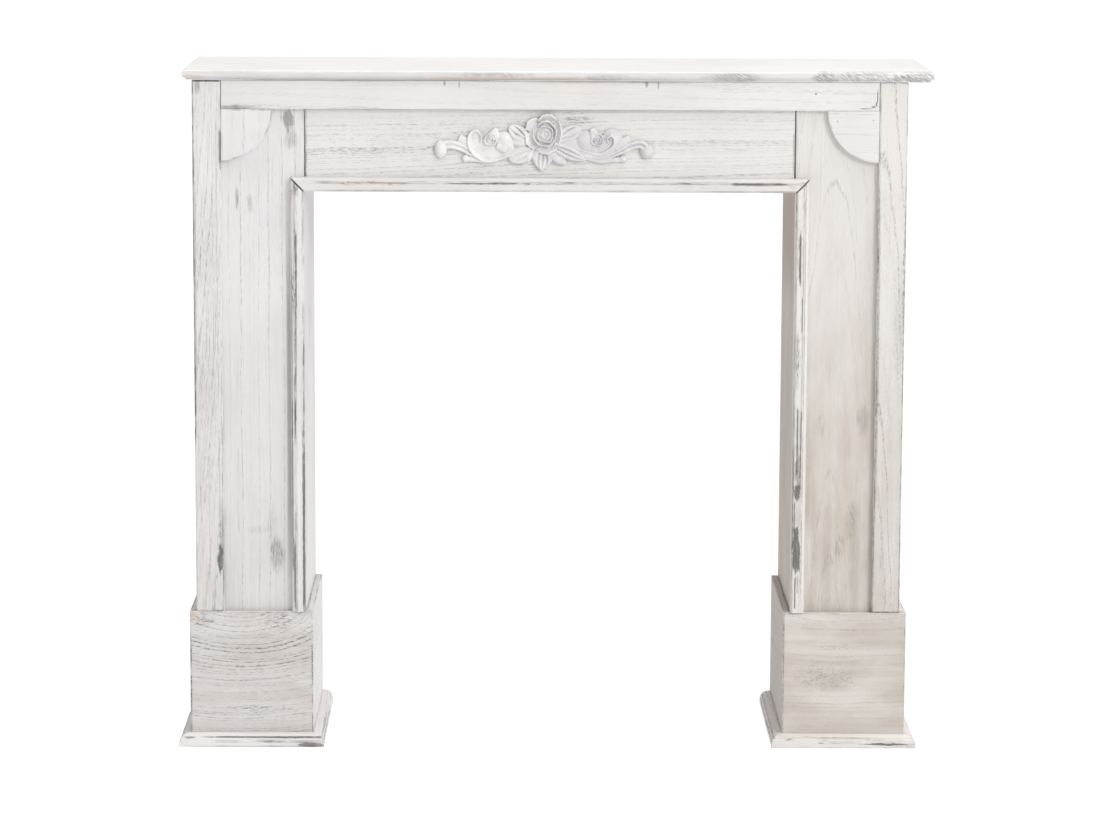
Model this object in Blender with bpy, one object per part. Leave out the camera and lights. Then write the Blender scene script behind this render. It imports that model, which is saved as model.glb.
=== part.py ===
"""Fireplace mantelpiece in whitewashed wood, all of boards: a moulded shelf on two boxed legs, a
frieze with a carved rose between them, raised trim boards, a mitred moulding round the opening,
and a plinth with a foot moulding on each leg.

It is laid out in metres from three planes: x = 0 midway between the legs, y = 0 on the front
faces of the legs' front boards, z = 0 on the floor. The front faces -Y. The empty "mantelpiece"
carries every piece and puts the origin under the middle of the finished outline.
"""

import math

import bmesh
import bpy
from mathutils import Vector

# Overall sizes
MANTEL_HEIGHT = 1.000
OPENING_WIDTH = 0.715
LEG_WIDTH = 0.1615
LEG_DEPTH = 0.2734

# Shelf: it stands over the legs' outer sides, more so on the right
SHELF_THICKNESS = 0.0145
SHELF_FRONT_OVERHANG = 0.018
SHELF_LEFT_OVERHANG = 0.0136
SHELF_RIGHT_OVERHANG = 0.0364
SHELF_TOP_ROUND = 0.0025
SHELF_NOSE_DEPTH = 0.0060
SHELF_FILLET_INSET = 0.0052
SHELF_FILLET_HEIGHT = 0.0024

# Boards of the carcass and of the trim on it
CARCASS_BOARD = 0.012
TRIM_BOARD = 0.010
STILE_WIDTH = 0.0413
RAIL_HEIGHT = 0.0415
FRIEZE_HEIGHT = 0.0992
BRACKET_RADIUS = 0.075
BRACKET_SIDES = 20
ARRIS = 0.0008

# Moulding round the opening
MOULDING_WIDTH = 0.0205
MOULDING_DEPTH = 0.014
MOULDING_EDGE = 0.006
MOULDING_SLOPE = 0.0068
MOULDING_INNER_ROUND = 0.004

# Plinth and foot moulding of each leg
PLINTH_HEIGHT = 0.2015
PLINTH_BOARD = 0.0098
FOOT_HEIGHT = 0.019
FOOT_PROJECTION = 0.0155
FOOT_UPRIGHT = 0.0085
FOOT_BEAD = 0.0032

# Gaps: what touches keeps CLEARANCE, and the visible open joints have their own
CLEARANCE = 0.0003
FRIEZE_GAP = 0.0022
RAIL_GAP = 0.0008
MITRE_GAP = 0.0012

# Carved ornament, drawn in units of which CARVING_UNITS make its height
ORNAMENT_MARGIN = 0.0096
CARVING_UNITS = 80
ORNAMENT_SHIFT = -0.0084
ORNAMENT_RISE = 0.0030
CARVING_SINK = 2
CARVING_REACH = 400

SIDES = (("left", -1), ("right", 1))
OPENING_HALF = OPENING_WIDTH / 2
LEG_OUTER = OPENING_HALF + LEG_WIDTH
LEG_TOP = MANTEL_HEIGHT - SHELF_THICKNESS - CLEARANCE
RAIL_BOTTOM = LEG_TOP - RAIL_HEIGHT
FRIEZE_LOW = RAIL_BOTTOM - FRIEZE_HEIGHT
OPENING_HEIGHT = FRIEZE_LOW - MOULDING_WIDTH
SHELF_LEFT = -LEG_OUTER - SHELF_LEFT_OVERHANG
SHELF_RIGHT = LEG_OUTER + SHELF_RIGHT_OVERHANG
STILE_INNER = LEG_OUTER - STILE_WIDTH
PLINTH_INNER = OPENING_HALF - CLEARANCE - PLINTH_BOARD
PLINTH_OUTER = LEG_OUTER + CLEARANCE + PLINTH_BOARD
PLINTH_FRONT = -CLEARANCE - PLINTH_BOARD
FOOT_REACH = CLEARANCE + FOOT_PROJECTION

WHITE_COOL = ("whitewash_cool", (0.77, 0.78, 0.78), 0.62)
WHITE_WARM = ("whitewash_warm", (0.76, 0.73, 0.69), 0.62)
WHITE_FRIEZE = ("whitewash_frieze", (0.80, 0.78, 0.75), 0.62)
WHITE_SHELF = ("whitewash_shelf", (0.86, 0.86, 0.85), 0.55)
WHITE_CARVING = ("carving_paint", (0.80, 0.79, 0.78), 0.58)
LEG_FINISH = {"left": WHITE_COOL, "right": WHITE_WARM}


def clear_scene():
    for obj in list(bpy.data.objects):
        bpy.data.objects.remove(obj, do_unlink=True)


def material(finish):
    name, colour, roughness = finish
    made = bpy.data.materials.get(name)
    if made is None:
        made = bpy.data.materials.new(name)
        made.use_nodes = True
        shader = made.node_tree.nodes["Principled BSDF"]
        shader.inputs["Base Color"].default_value = (*colour, 1.0)
        shader.inputs["Roughness"].default_value = roughness
        shader.inputs["Metallic"].default_value = 0.0
    return made


def place_empty():
    """The empty that carries all pieces, set so that the outline's floor centre is the origin."""
    right_end = max(SHELF_RIGHT, PLINTH_OUTER + FOOT_REACH)
    left_end = min(SHELF_LEFT, -PLINTH_OUTER - FOOT_REACH)
    front = min(PLINTH_FRONT - FOOT_REACH, -SHELF_FRONT_OVERHANG)
    empty = bpy.data.objects.new("mantelpiece", None)
    empty.location = (-(left_end + right_end) / 2, -(front + LEG_DEPTH) / 2, 0)
    bpy.context.scene.collection.objects.link(empty)
    return empty


def add_piece(name, shape, finish, carrier, location=(0, 0, 0)):
    mesh = bpy.data.meshes.new(name)
    bmesh.ops.recalc_face_normals(shape, faces=shape.faces)
    shape.to_mesh(mesh)
    shape.free()
    mesh.materials.append(material(finish))
    piece = bpy.data.objects.new(name, mesh)
    piece.parent = carrier
    piece.location = location
    bpy.context.scene.collection.objects.link(piece)
    return piece


def ease_edges(piece, width=ARRIS):
    """Takes the sharp arris off a board's edges."""
    bevel = piece.modifiers.new("arris", "BEVEL")
    bevel.width = width
    bevel.segments = 1
    bevel.limit_method = "ANGLE"
    bevel.angle_limit = math.radians(40)


def add_board(name, x, y, z, finish, carrier):
    """A board that fills the given ranges of x, y and z."""
    low = Vector((min(x), min(y), min(z)))
    high = Vector((max(x), max(y), max(z)))
    shape = bmesh.new()
    bmesh.ops.create_cube(shape, size=1)
    bmesh.ops.scale(shape, vec=high - low, verts=shape.verts)
    board = add_piece(name, shape, finish, carrier, (low + high) / 2)
    ease_edges(board)
    return board


def arc(centre, radii, start, end, steps):
    """Points of an ellipse's arc, angles in degrees."""
    turns = (math.radians(start + (end - start) * i / steps) for i in range(steps + 1))
    return [(centre[0] + radii[0] * math.cos(t), centre[1] + radii[1] * math.sin(t)) for t in turns]


def loft(shape, rings):
    """Joins closed rings of points in order and caps both ends."""
    loops = [[shape.verts.new(point) for point in ring] for ring in rings]
    count = len(loops[0])
    for one, two in zip(loops, loops[1:]):
        for i in range(count):
            shape.faces.new((one[i], one[(i + 1) % count], two[(i + 1) % count], two[i]))
    shape.faces.new(loops[0])
    shape.faces.new(loops[-1])


def add_moulding(name, profile, start, end, across, out, mitres, finish, carrier, gap):
    """A straight moulding from start to end. A profile point (a, d) lies a across and d out from
    that line. An end whose mitre is 1 grows by a, for a corner that the moulding goes round."""
    start, end, across, out = Vector(start), Vector(end), Vector(across), Vector(out)
    along = (end - start).normalized()
    rings = []
    for point, mitre, way in ((start, mitres[0], -1), (end, mitres[1], 1)):
        ring = [
            point + along * way * mitre * (a - gap / math.sqrt(2)) + across * a + out * d
            for a, d in profile
        ]
        rings.append(ring)
    shape = bmesh.new()
    loft(shape, rings)
    return add_piece(name, shape, finish, carrier)


def add_shelf(carrier):
    """The shelf board: top arris rounded, nose turned under to a small fillet, back edge square."""
    nose_low = SHELF_FILLET_HEIGHT
    nose_high = SHELF_THICKNESS - SHELF_NOSE_DEPTH
    top_round = SHELF_TOP_ROUND
    profile = [(SHELF_FILLET_INSET, 0), (SHELF_FILLET_INSET, nose_low)]
    profile += arc(
        (SHELF_FILLET_INSET, nose_high),
        (SHELF_FILLET_INSET, nose_high - nose_low - CLEARANCE),
        -90,
        -180,
        5,
    )
    profile += arc((top_round, SHELF_THICKNESS - top_round), (top_round, top_round), 180, 90, 4)
    base = LEG_TOP + CLEARANCE
    rings = []
    for inset, height in profile:
        left, right = SHELF_LEFT + inset, SHELF_RIGHT - inset
        front = -SHELF_FRONT_OVERHANG + inset
        corners = ((left, front), (right, front), (right, LEG_DEPTH), (left, LEG_DEPTH))
        rings.append([(x, y, base + height) for x, y in corners])
    shape = bmesh.new()
    loft(shape, rings)
    return add_piece("shelf_board", shape, WHITE_SHELF, carrier)


def add_header(carrier):
    """The frieze board over the opening, the soffit behind it and the rail that is raised on it."""
    frieze_end = OPENING_HALF - FRIEZE_GAP
    add_board(
        "frieze_board",
        (-frieze_end, frieze_end),
        (0, CARCASS_BOARD),
        (OPENING_HEIGHT, LEG_TOP),
        WHITE_FRIEZE,
        carrier,
    )
    soffit_end = OPENING_HALF - CLEARANCE
    add_board(
        "opening_soffit",
        (-soffit_end, soffit_end),
        (CARCASS_BOARD + CLEARANCE, LEG_DEPTH),
        (OPENING_HEIGHT, OPENING_HEIGHT + CARCASS_BOARD),
        WHITE_FRIEZE,
        carrier,
    )
    rail_end = STILE_INNER - RAIL_GAP
    add_board(
        "top_rail",
        (-rail_end, rail_end),
        (-CLEARANCE - TRIM_BOARD, -CLEARANCE),
        (RAIL_BOTTOM, LEG_TOP),
        WHITE_FRIEZE,
        carrier,
    )


def add_bracket(name, side, finish, carrier):
    """A quarter disc in the corner below the rail and inside the stile."""
    corner = (side * (STILE_INNER - CLEARANCE), RAIL_BOTTOM - CLEARANCE)
    turn = (180, 270) if side > 0 else (360, 270)
    outline = [corner] + arc(corner, (BRACKET_RADIUS, BRACKET_RADIUS), *turn, BRACKET_SIDES)
    shape = bmesh.new()
    loft(shape, [[(x, y, z) for x, z in outline] for y in (-CLEARANCE - TRIM_BOARD, -CLEARANCE)])
    bracket = add_piece(name, shape, finish, carrier)
    ease_edges(bracket, ARRIS / 2)


def add_leg(label, side, carrier):
    """One boxed leg, open at the back, with its stile and corner bracket."""
    finish = LEG_FINISH[label]
    back_of_front = CARCASS_BOARD + CLEARANCE
    add_board(
        label + "_leg_front",
        (side * OPENING_HALF, side * LEG_OUTER),
        (0, CARCASS_BOARD),
        (0, LEG_TOP),
        finish,
        carrier,
    )
    for place, x in (("inner", OPENING_HALF), ("outer", LEG_OUTER - CARCASS_BOARD)):
        add_board(
            f"{label}_leg_{place}_side",
            (side * x, side * (x + CARCASS_BOARD)),
            (back_of_front, LEG_DEPTH),
            (0, LEG_TOP),
            finish,
            carrier,
        )
    add_board(
        label + "_stile",
        (side * STILE_INNER, side * LEG_OUTER),
        (-CLEARANCE - TRIM_BOARD, -CLEARANCE),
        (PLINTH_HEIGHT + CLEARANCE, LEG_TOP),
        finish,
        carrier,
    )
    add_bracket(label + "_corner_bracket", side, finish, carrier)


def add_opening_moulding(carrier):
    """Three lengths round the opening, mitred at the top corners and standing on the plinths."""
    flat_start = MOULDING_INNER_ROUND
    flat_end = MOULDING_WIDTH - MOULDING_SLOPE
    profile = [(0, 0)]
    profile += arc(
        (flat_start, MOULDING_DEPTH - flat_start), (flat_start, flat_start), 180, 90, 4
    )
    profile += [(flat_end, MOULDING_DEPTH)]
    profile += arc(
        (flat_end, MOULDING_EDGE),
        (MOULDING_SLOPE, MOULDING_DEPTH - MOULDING_EDGE - ARRIS),
        90,
        0,
        4,
    )
    profile += [(MOULDING_WIDTH, 0)]
    face = -CLEARANCE
    add_moulding(
        "opening_moulding_top",
        profile,
        (-OPENING_HALF, face, OPENING_HEIGHT),
        (OPENING_HALF, face, OPENING_HEIGHT),
        (0, 0, 1),
        (0, -1, 0),
        (1, 1),
        WHITE_FRIEZE,
        carrier,
        MITRE_GAP,
    )
    for label, side in SIDES:
        add_moulding(
            "opening_moulding_" + label,
            profile,
            (side * OPENING_HALF, face, PLINTH_HEIGHT + CLEARANCE),
            (side * OPENING_HALF, face, OPENING_HEIGHT),
            (side, 0, 0),
            (0, -1, 0),
            (0, 1),
            LEG_FINISH[label],
            carrier,
            MITRE_GAP,
        )


def add_plinth(label, side, carrier):
    """The three boards round the foot of a leg: the front one covers the ends of the sides."""
    finish = LEG_FINISH[label]
    add_board(
        label + "_plinth_front",
        (side * PLINTH_INNER, side * PLINTH_OUTER),
        (PLINTH_FRONT, -CLEARANCE),
        (0, PLINTH_HEIGHT),
        finish,
        carrier,
    )
    for place, x in (("inner", PLINTH_INNER), ("outer", LEG_OUTER + CLEARANCE)):
        add_board(
            f"{label}_plinth_{place}_side",
            (side * x, side * (x + PLINTH_BOARD)),
            (0, LEG_DEPTH),
            (0, PLINTH_HEIGHT),
            finish,
            carrier,
        )


def add_foot_moulding(label, side, carrier):
    """The moulding on the floor round three sides of a plinth, mitred at the front corners."""
    finish = LEG_FINISH[label]
    reach, height, gap = FOOT_PROJECTION + CLEARANCE, FOOT_HEIGHT, CLEARANCE
    shoulder = FOOT_BEAD + CLEARANCE
    profile = [(gap, 0), (reach, 0), (reach, FOOT_UPRIGHT)]
    profile += arc((shoulder, FOOT_UPRIGHT), (reach - shoulder, height - FOOT_UPRIGHT), 0, 90, 5)[1:]
    profile += [(gap, height)]
    inner, outer = side * PLINTH_INNER, side * PLINTH_OUTER
    lengths = (
        ("front", (inner, PLINTH_FRONT, 0), (outer, PLINTH_FRONT, 0), (0, -1, 0), (1, 1)),
        ("inner_side", (inner, PLINTH_FRONT, 0), (inner, LEG_DEPTH, 0), (-side, 0, 0), (1, 0)),
        ("outer_side", (outer, PLINTH_FRONT, 0), (outer, LEG_DEPTH, 0), (side, 0, 0), (1, 0)),
    )
    for place, start, end, across, mitres in lengths:
        add_moulding(
            f"{label}_foot_moulding_{place}",
            profile,
            start,
            end,
            across,
            (0, 0, 1),
            mitres,
            finish,
            carrier,
            CLEARANCE,
        )


def smooth_line(points, steps):
    """A Catmull-Rom curve through the points: positions and unit tangents, plus the share of the
    way from the first point to the last at which each lies."""
    count = len(points)
    held = [points[0], *points, points[-1]]
    line = []
    for i in range(steps + 1):
        place = (count - 1) * i / steps
        part = min(int(place), count - 2)
        t = place - part
        p0, p1, p2, p3 = (Vector(held[part + k]) for k in range(4))
        a, b, c = p2 - p0, 2 * p0 - 5 * p1 + 4 * p2 - p3, 3 * p1 - p0 - 3 * p2 + p3
        spot = p1 + (a * t + b * t**2 + c * t**3) / 2
        slope = a + 2 * b * t + 3 * c * t**2
        line.append((spot, slope.normalized(), place))
    return line


def at(values, place):
    """A value read between the entries of a short list."""
    low = min(int(place), len(values) - 2)
    return values[low] + (values[low + 1] - values[low]) * (place - low)


def band(points, half_widths, heights, section, steps):
    """A raised band along a smooth line on the ground plane. Its section is a list of (across,
    height) from -1 to 1, scaled by the half width and the height at each place."""
    rings = []
    for spot, way, place in smooth_line(points, steps):
        square = Vector((-way.y, way.x))
        width, height = at(half_widths, place), at(heights, place)
        edge = [spot + square * width * t for t, _ in section]
        ring = [(p.x, p.y, height * k) for p, (_, k) in zip(edge, section)]
        ring += [(edge[-1].x, edge[-1].y, -CARVING_SINK), (edge[0].x, edge[0].y, -CARVING_SINK)]
        rings.append(ring)
    shape = bmesh.new()
    loft(shape, rings)
    return shape


def dome(centre, radii, height, around=16, up=5):
    """A rounded knob: half an ellipsoid on a short skirt."""
    shape = bmesh.new()
    rings = []
    for level in range(-1, up):
        lift = math.radians(90 * max(level, 0) / up)
        z = height * math.sin(lift) if level >= 0 else -CARVING_SINK
        ring = []
        for i in range(around):
            turn = 2 * math.pi * i / around
            x = centre[0] + radii[0] * math.cos(lift) * math.cos(turn)
            y = centre[1] + radii[1] * math.cos(lift) * math.sin(turn)
            ring.append((x, y, z))
        rings.append(ring)
    loft(shape, rings)
    bmesh.ops.poke(shape, faces=[max(shape.faces, key=lambda f: f.calc_center_median().z)])
    max(shape.verts, key=lambda v: len(v.link_edges)).co.z = height
    return shape


def round_section(steps=6, edge=0.25):
    """Half round across a stem, on a short upright edge."""
    angles = [math.pi * i / steps for i in range(steps + 1)]
    return [(-math.cos(t), edge + (1 - edge) * math.sin(t)) for t in angles]


LOBE = round_section(4, 0.55)
FLAT = [(-1, 0.75), (-0.9, 1), (0.9, 1), (1, 0.75)]
GROOVED = [(-1, 0.4), (-0.8, 0.9), (-0.45, 1), (-0.1, 0.72)]
GROOVED += [(-t, k) for t, k in reversed(GROOVED)]
CUPPED = [(-1, 0.7), (-0.85, 1), (-0.55, 0.92), (0, 0.62), (0.6, 0.5), (1, 0.42)]
LIPPED = [(-1, 0.62), (-0.3, 0.7), (0.35, 0.88), (0.7, 1), (0.92, 0.97), (1, 0.8)]


def leaf(base, tip, lobes, spread, half_width, height):
    """A leaf of rounded lobes that fan out from its base, the middle ones the longest."""
    base, reach = Vector(base), Vector(tip) - Vector(base)
    forms = []
    for i in range(lobes):
        share = 2 * i / (lobes - 1) - 1
        turn = math.radians(spread * share)
        way = Vector(
            (
                reach.x * math.cos(turn) - reach.y * math.sin(turn),
                reach.x * math.sin(turn) + reach.y * math.cos(turn),
            )
        )
        way *= 1 - 0.12 * abs(share)
        root = base + Vector((-reach.y, reach.x)).normalized() * (half_width * 0.35 * share)
        points = [root, root + way * 0.5, root + way * 0.85, root + way]
        widths = [half_width * k for k in (0.55, 1, 1.05, 0.5)]
        heights = [height * k for k in (1, 1.05, 0.85, 0.55)]
        forms.append(band(points, widths, heights, LOBE, 5))
    return forms


def petal(centre, radius, half_width, start, end, height, steps=7):
    """A petal that wraps round the flower's middle, its outer lip rolled up."""
    angles = [math.radians(start + (end - start) * i / 4) for i in range(5)]
    points = [(centre[0] + radius * math.cos(t), centre[1] + radius * math.sin(t)) for t in angles]
    widths = [half_width * k for k in (0.55, 0.95, 1, 0.95, 0.55)]
    heights = [height * k for k in (0.86, 0.98, 1, 0.98, 0.86)]
    section = [(-t, k) for t, k in reversed(LIPPED)] if end > start else LIPPED
    return band(points, widths, heights, section, steps)


def rose_forms():
    """The middle rose: a core, outer petals low and wide, inner petals higher and tighter."""
    middle = (0, 13)
    forms = [dome(middle, (22, 22), 9.5, 20, 4)]
    for start, end, radius, width, height in (
        (88, 172, 19.5, 8, 10.5),
        (30, 106, 20, 7.5, 11.5),
        (-48, 44, 18.5, 7.5, 11),
        (232, 322, 21, 7, 11.5),
        (160, 244, 20, 7.5, 12),
    ):
        forms.append(petal(middle, radius, width, start, end, height))
    for start, end in ((60, 150), (-60, 50), (200, 300), (128, 222)):
        forms.append(petal(middle, 12, 4.4, start, end, 14))
    for start, end in ((20, 130), (140, 250), (260, 370)):
        forms.append(petal(middle, 6.2, 2.6, start, end, 15.6, 5))
    forms.append(dome(middle, (3, 3), 16.5, 10, 3))
    return forms


def bud_forms(centre, bulb, bulb_radii, side):
    """A half-open bud: its smooth bulb, wrapped petals round an eye and one broad pointed petal."""
    forms = [dome(bulb, bulb_radii, 10.5)]
    forms.append(dome(centre, (8.6, 9), 8.5, 14, 4))
    for turn in (20, 140, 260):
        forms.append(petal(centre, 6.4, 2.6, turn, turn + 110, 11.2, 5))
    forms.append(dome(centre, (2.6, 2.8), 12, 10, 3))
    tip = (centre[0] - side * 8, centre[1] + 16.5)
    hip = (centre[0] - side * 5, centre[1] + 7)
    root = (centre[0] - side * 2, centre[1] + 1)
    forms.append(band([root, hip, tip], [8, 7, 2.6], [8.5, 9.8, 7], LOBE, 5))
    return forms


def side_scroll_forms(side, curl, outer):
    """The C-shaped scroll with the low ground inside it, the two short stubs and the long stem."""
    forms = [band(curl["line"], curl["widths"], curl["heights"], CUPPED[:: -side], 22)]
    forms.append(dome(*curl["knob"], 7, 12, 4))
    ground = [(side * 105, 2), (side * 92, -8), (side * 74, -12), (side * 45, -6)]
    forms.append(band(ground, [6, 12, 14, 12], [4.5, 5, 5.5, 6], FLAT, 8))
    stub = [(side * 103, -11), (side * 114, -2), (side * 125, 6)]
    forms.append(band(stub, [4, 5, 4], [6, 6, 5], LOBE, 4))
    ball = (side * 114.5, -25)
    foot = [ball, (side * 97, -27), (side * 79, -28.5), (side * 36, -17)]
    forms.append(band(foot, [4, 3.2, 3, 2], [5, 5, 5, 4], LOBE, 9))
    forms.append(dome(ball, (5.8, 5.8), 7, 12, 4))
    forms.append(band(outer["line"], outer["widths"], outer["heights"], GROOVED, 10))
    forms.append(dome(*outer["knob"], 10.5))
    return forms


def carving_forms():
    """Every form of the ornament, in its own units, x to the right, y up, z off the board."""
    hook = [(-95, -2), (-94, 7), (-100, 13.5), (-106.5, 7)]
    left_curl = {
        "line": hook + [(-106, -6), (-96, -18), (-77, -24), (-36, -10)],
        "widths": [2.6, 3.6, 4.4, 4.6, 5.2, 6.6, 6.4, 4.2],
        "heights": [8, 9.5, 10.5, 10, 9, 8.5, 8, 6],
        "knob": ((-100.5, 8), (6, 6.5)),
    }
    hook = [(91.5, -3), (88.5, 6), (96, 13.5), (105, 8)]
    right_curl = {
        "line": hook + [(105, -5), (96, -16), (77, -22.5), (36, -10)],
        "widths": [3, 4.2, 5.6, 6.2, 5.8, 6.6, 6.4, 4.2],
        "heights": [8, 10, 11.5, 11, 9, 8.5, 8, 6],
        "knob": ((97.5, 8.5), (8, 8)),
    }
    left_outer = {
        "line": [(-150, -7), (-136, -4.5), (-120, -9), (-106, -17), (-88, -25)],
        "widths": [6.5, 6.5, 6, 4.5, 2.5],
        "heights": [7.5, 7, 6.5, 6, 5],
        "knob": ((-150.5, -11.5), (9.6, 13.2)),
    }
    right_outer = {
        "line": [(147, -9), (139, -3.5), (124, -7), (110, -14.5), (90, -23.5)],
        "widths": [7, 6, 5.6, 4.5, 2.5],
        "heights": [8.5, 7.5, 7, 6, 5],
        "knob": ((149.2, -14), (10.6, 10.8)),
    }
    forms = rose_forms()
    for base, tip, lobes, spread, width in (
        ((-24, 4), (-47, 20), 3, 19, 6.4),
        ((-20, -4), (-46, 3), 2, 7, 5.2),
        ((-12, -8), (-45, -26), 3, 13, 7.6),
        ((-1, -10), (-3, -38.5), 4, 21, 4.8),
        ((10, -8), (45, -30), 3, 12, 6.4),
        ((23, 4), (46, 20), 3, 19, 6),
        ((20, -4), (46, 3), 2, 7, 5.2),
    ):
        forms += leaf(base, tip, lobes, spread, width, 7.2)
    forms += bud_forms((-78, 3), (-59, -1), (14, 12), -1)
    forms += bud_forms((77.5, 3), (60, 0), (14.5, 13.5), 1)
    forms += side_scroll_forms(-1, left_curl, left_outer)
    forms += side_scroll_forms(1, right_curl, right_outer)
    return forms


def add_ornament(carrier):
    """The carving: its forms joined into one solid and cut flat on the frieze."""
    forms = bpy.data.collections.new("carving_forms")
    bpy.context.scene.collection.children.link(forms)
    unit = (FRIEZE_HEIGHT - 2 * ORNAMENT_MARGIN) / CARVING_UNITS
    middle = FRIEZE_LOW + FRIEZE_HEIGHT / 2 + ORNAMENT_RISE
    ornament = None
    for number, shape in enumerate(carving_forms()):
        for vert in shape.verts:
            x, y, z = vert.co
            vert.co = (ORNAMENT_SHIFT + x * unit, -CLEARANCE - z * unit, middle + y * unit)
        name = "carved_ornament" if ornament is None else f"carving_form_{number:02d}"
        piece = add_piece(name, shape, WHITE_CARVING, carrier)
        if ornament is None:
            ornament = piece
            continue
        bpy.context.scene.collection.objects.unlink(piece)
        forms.objects.link(piece)
        piece.hide_render = True
        piece.display_type = "WIRE"
    join = ornament.modifiers.new("join", "BOOLEAN")
    join.operation = "UNION"
    join.solver = "MANIFOLD"
    join.operand_type = "COLLECTION"
    join.collection = forms

    block = bmesh.new()
    bmesh.ops.create_cube(block, size=CARVING_REACH * unit)
    spot = (ORNAMENT_SHIFT, -CLEARANCE + CARVING_REACH * unit / 2, middle)
    cutter = add_piece("carving_back_cutter", block, WHITE_CARVING, carrier, spot)
    cutter.hide_render = True
    cutter.display_type = "WIRE"
    flatten = ornament.modifiers.new("flat_back", "BOOLEAN")
    flatten.operation = "DIFFERENCE"
    flatten.object = cutter
    return ornament


def main():
    clear_scene()
    carrier = place_empty()
    add_shelf(carrier)
    add_header(carrier)
    for label, side in SIDES:
        add_leg(label, side, carrier)
        add_plinth(label, side, carrier)
        add_foot_moulding(label, side, carrier)
    add_opening_moulding(carrier)
    add_ornament(carrier)


main()
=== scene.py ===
"""The looks of a whitewashed wooden fireplace mantelpiece.

Worn boards, mouldings rubbed through at their arrises, a carved rose over the opening and a plain
studio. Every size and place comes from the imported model, in metres: x to the right, y towards the
wall, z up.
"""

import math

import bmesh
import bpy
from mathutils import Matrix, Vector


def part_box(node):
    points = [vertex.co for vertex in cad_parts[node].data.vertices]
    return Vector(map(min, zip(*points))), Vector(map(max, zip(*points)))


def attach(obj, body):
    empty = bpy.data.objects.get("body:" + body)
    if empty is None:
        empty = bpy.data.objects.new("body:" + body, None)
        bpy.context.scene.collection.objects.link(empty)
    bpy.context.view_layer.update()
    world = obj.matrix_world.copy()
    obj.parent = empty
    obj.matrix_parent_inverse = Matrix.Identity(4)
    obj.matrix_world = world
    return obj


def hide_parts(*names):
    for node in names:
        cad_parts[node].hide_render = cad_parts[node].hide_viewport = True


bl_info = {
    "name": "Whitewashed mantelpiece",
    "version": (1, 0, 0),
    "blender": (4, 5, 0),
    "location": "3D Viewport > Sidebar > Mantelpiece",
    "description": "Worn whitewashed boards, mouldings and a carved rose on a packed mantelpiece",
    "category": "Object",
}

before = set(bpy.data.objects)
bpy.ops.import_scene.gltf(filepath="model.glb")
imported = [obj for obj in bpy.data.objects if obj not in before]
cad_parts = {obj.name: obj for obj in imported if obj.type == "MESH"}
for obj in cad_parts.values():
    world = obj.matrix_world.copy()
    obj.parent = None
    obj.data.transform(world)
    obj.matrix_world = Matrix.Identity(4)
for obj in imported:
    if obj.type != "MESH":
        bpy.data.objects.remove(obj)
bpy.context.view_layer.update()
SIDES = (("left", -1), ("right", 1))


# Node trees written as sums

def plug(tree, value, socket):
    """Feeds an input with a field or with a plain value."""
    if isinstance(value, Field):
        tree.links.new(value.socket, socket)
    elif socket.type == "VECTOR" and isinstance(value, (int, float)):
        socket.default_value = (value,) * 3
    elif socket.type == "RGBA" and len(value) == 3:
        socket.default_value = (*value, 1.0)
    else:
        socket.default_value = value


def add(tree, kind, inputs=(), output=0, **settings):
    """Adds a node and gives one of its outputs as a field."""
    node = tree.nodes.new(kind)
    for name, value in settings.items():
        setattr(node, name, value)
    for key, value in dict(inputs).items():
        plug(tree, value, node.inputs[key])
    return Field(tree, node.outputs[output])


class Field:
    """An output in a node tree. Arithmetic on it adds the nodes that work it out."""

    def __init__(self, tree, socket):
        self.tree, self.socket = tree, socket

    def is_vector(self):
        return self.socket.type in ("VECTOR", "RGBA")

    def calc(self, operation, *others):
        values = (self, *others)
        vector = any(isinstance(v, tuple) or isinstance(v, Field) and v.is_vector() for v in values)
        kind = "ShaderNodeVectorMath" if vector else "ShaderNodeMath"
        return add(self.tree, kind, enumerate(values), operation=operation)

    def __add__(self, other):
        return self.calc("ADD", other)

    def __sub__(self, other):
        return self.calc("SUBTRACT", other)

    def __rsub__(self, other):
        return self.calc("MULTIPLY", -1).calc("ADD", other)

    def __mul__(self, other):
        return self.calc("MULTIPLY", other)

    def __truediv__(self, other):
        return self.calc("DIVIDE", other)

    def least(self, other):
        return self.calc("MINIMUM", other)

    def most(self, other):
        return self.calc("MAXIMUM", other)

    def length(self):
        return add(self.tree, "ShaderNodeVectorMath", {0: self}, "Value", operation="LENGTH")

    def part(self, axis):
        return add(self.tree, "ShaderNodeSeparateXYZ", {0: self}, axis)

    def step(self, low, high):
        """0 at low, 1 at high, smooth between; low may be the larger one."""
        sockets = {0: self, 1: low, 2: high}
        return add(self.tree, "ShaderNodeMapRange", sockets, interpolation_type="SMOOTHSTEP")

    def noise(self, scale, detail=2.0, roughness=0.5):
        sockets = {"Vector": self, "Scale": scale, "Detail": detail, "Roughness": roughness}
        return add(self.tree, "ShaderNodeTexNoise", sockets)


def join(tree, x, y, z):
    return add(tree, "ShaderNodeCombineXYZ", {0: x, 1: y, 2: z})


def blend(mask, low, high):
    """Low where the mask is 0 and high where it is 1: colours or fields of colour."""
    sockets = {0: mask, 6: low, 7: high}
    return add(mask.tree, "ShaderNodeMix", sockets, 2, data_type="RGBA", clamp_factor=True)


# Sizes and colours that a user would change

def colour_property(name, description, default):
    return bpy.props.FloatVectorProperty(
        name=name, description=description, default=default, subtype="COLOR", min=0, max=1
    )


def length_property(name, description, default):
    return bpy.props.FloatProperty(
        name=name, description=description, default=default, unit="LENGTH", min=0, precision=5
    )


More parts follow.
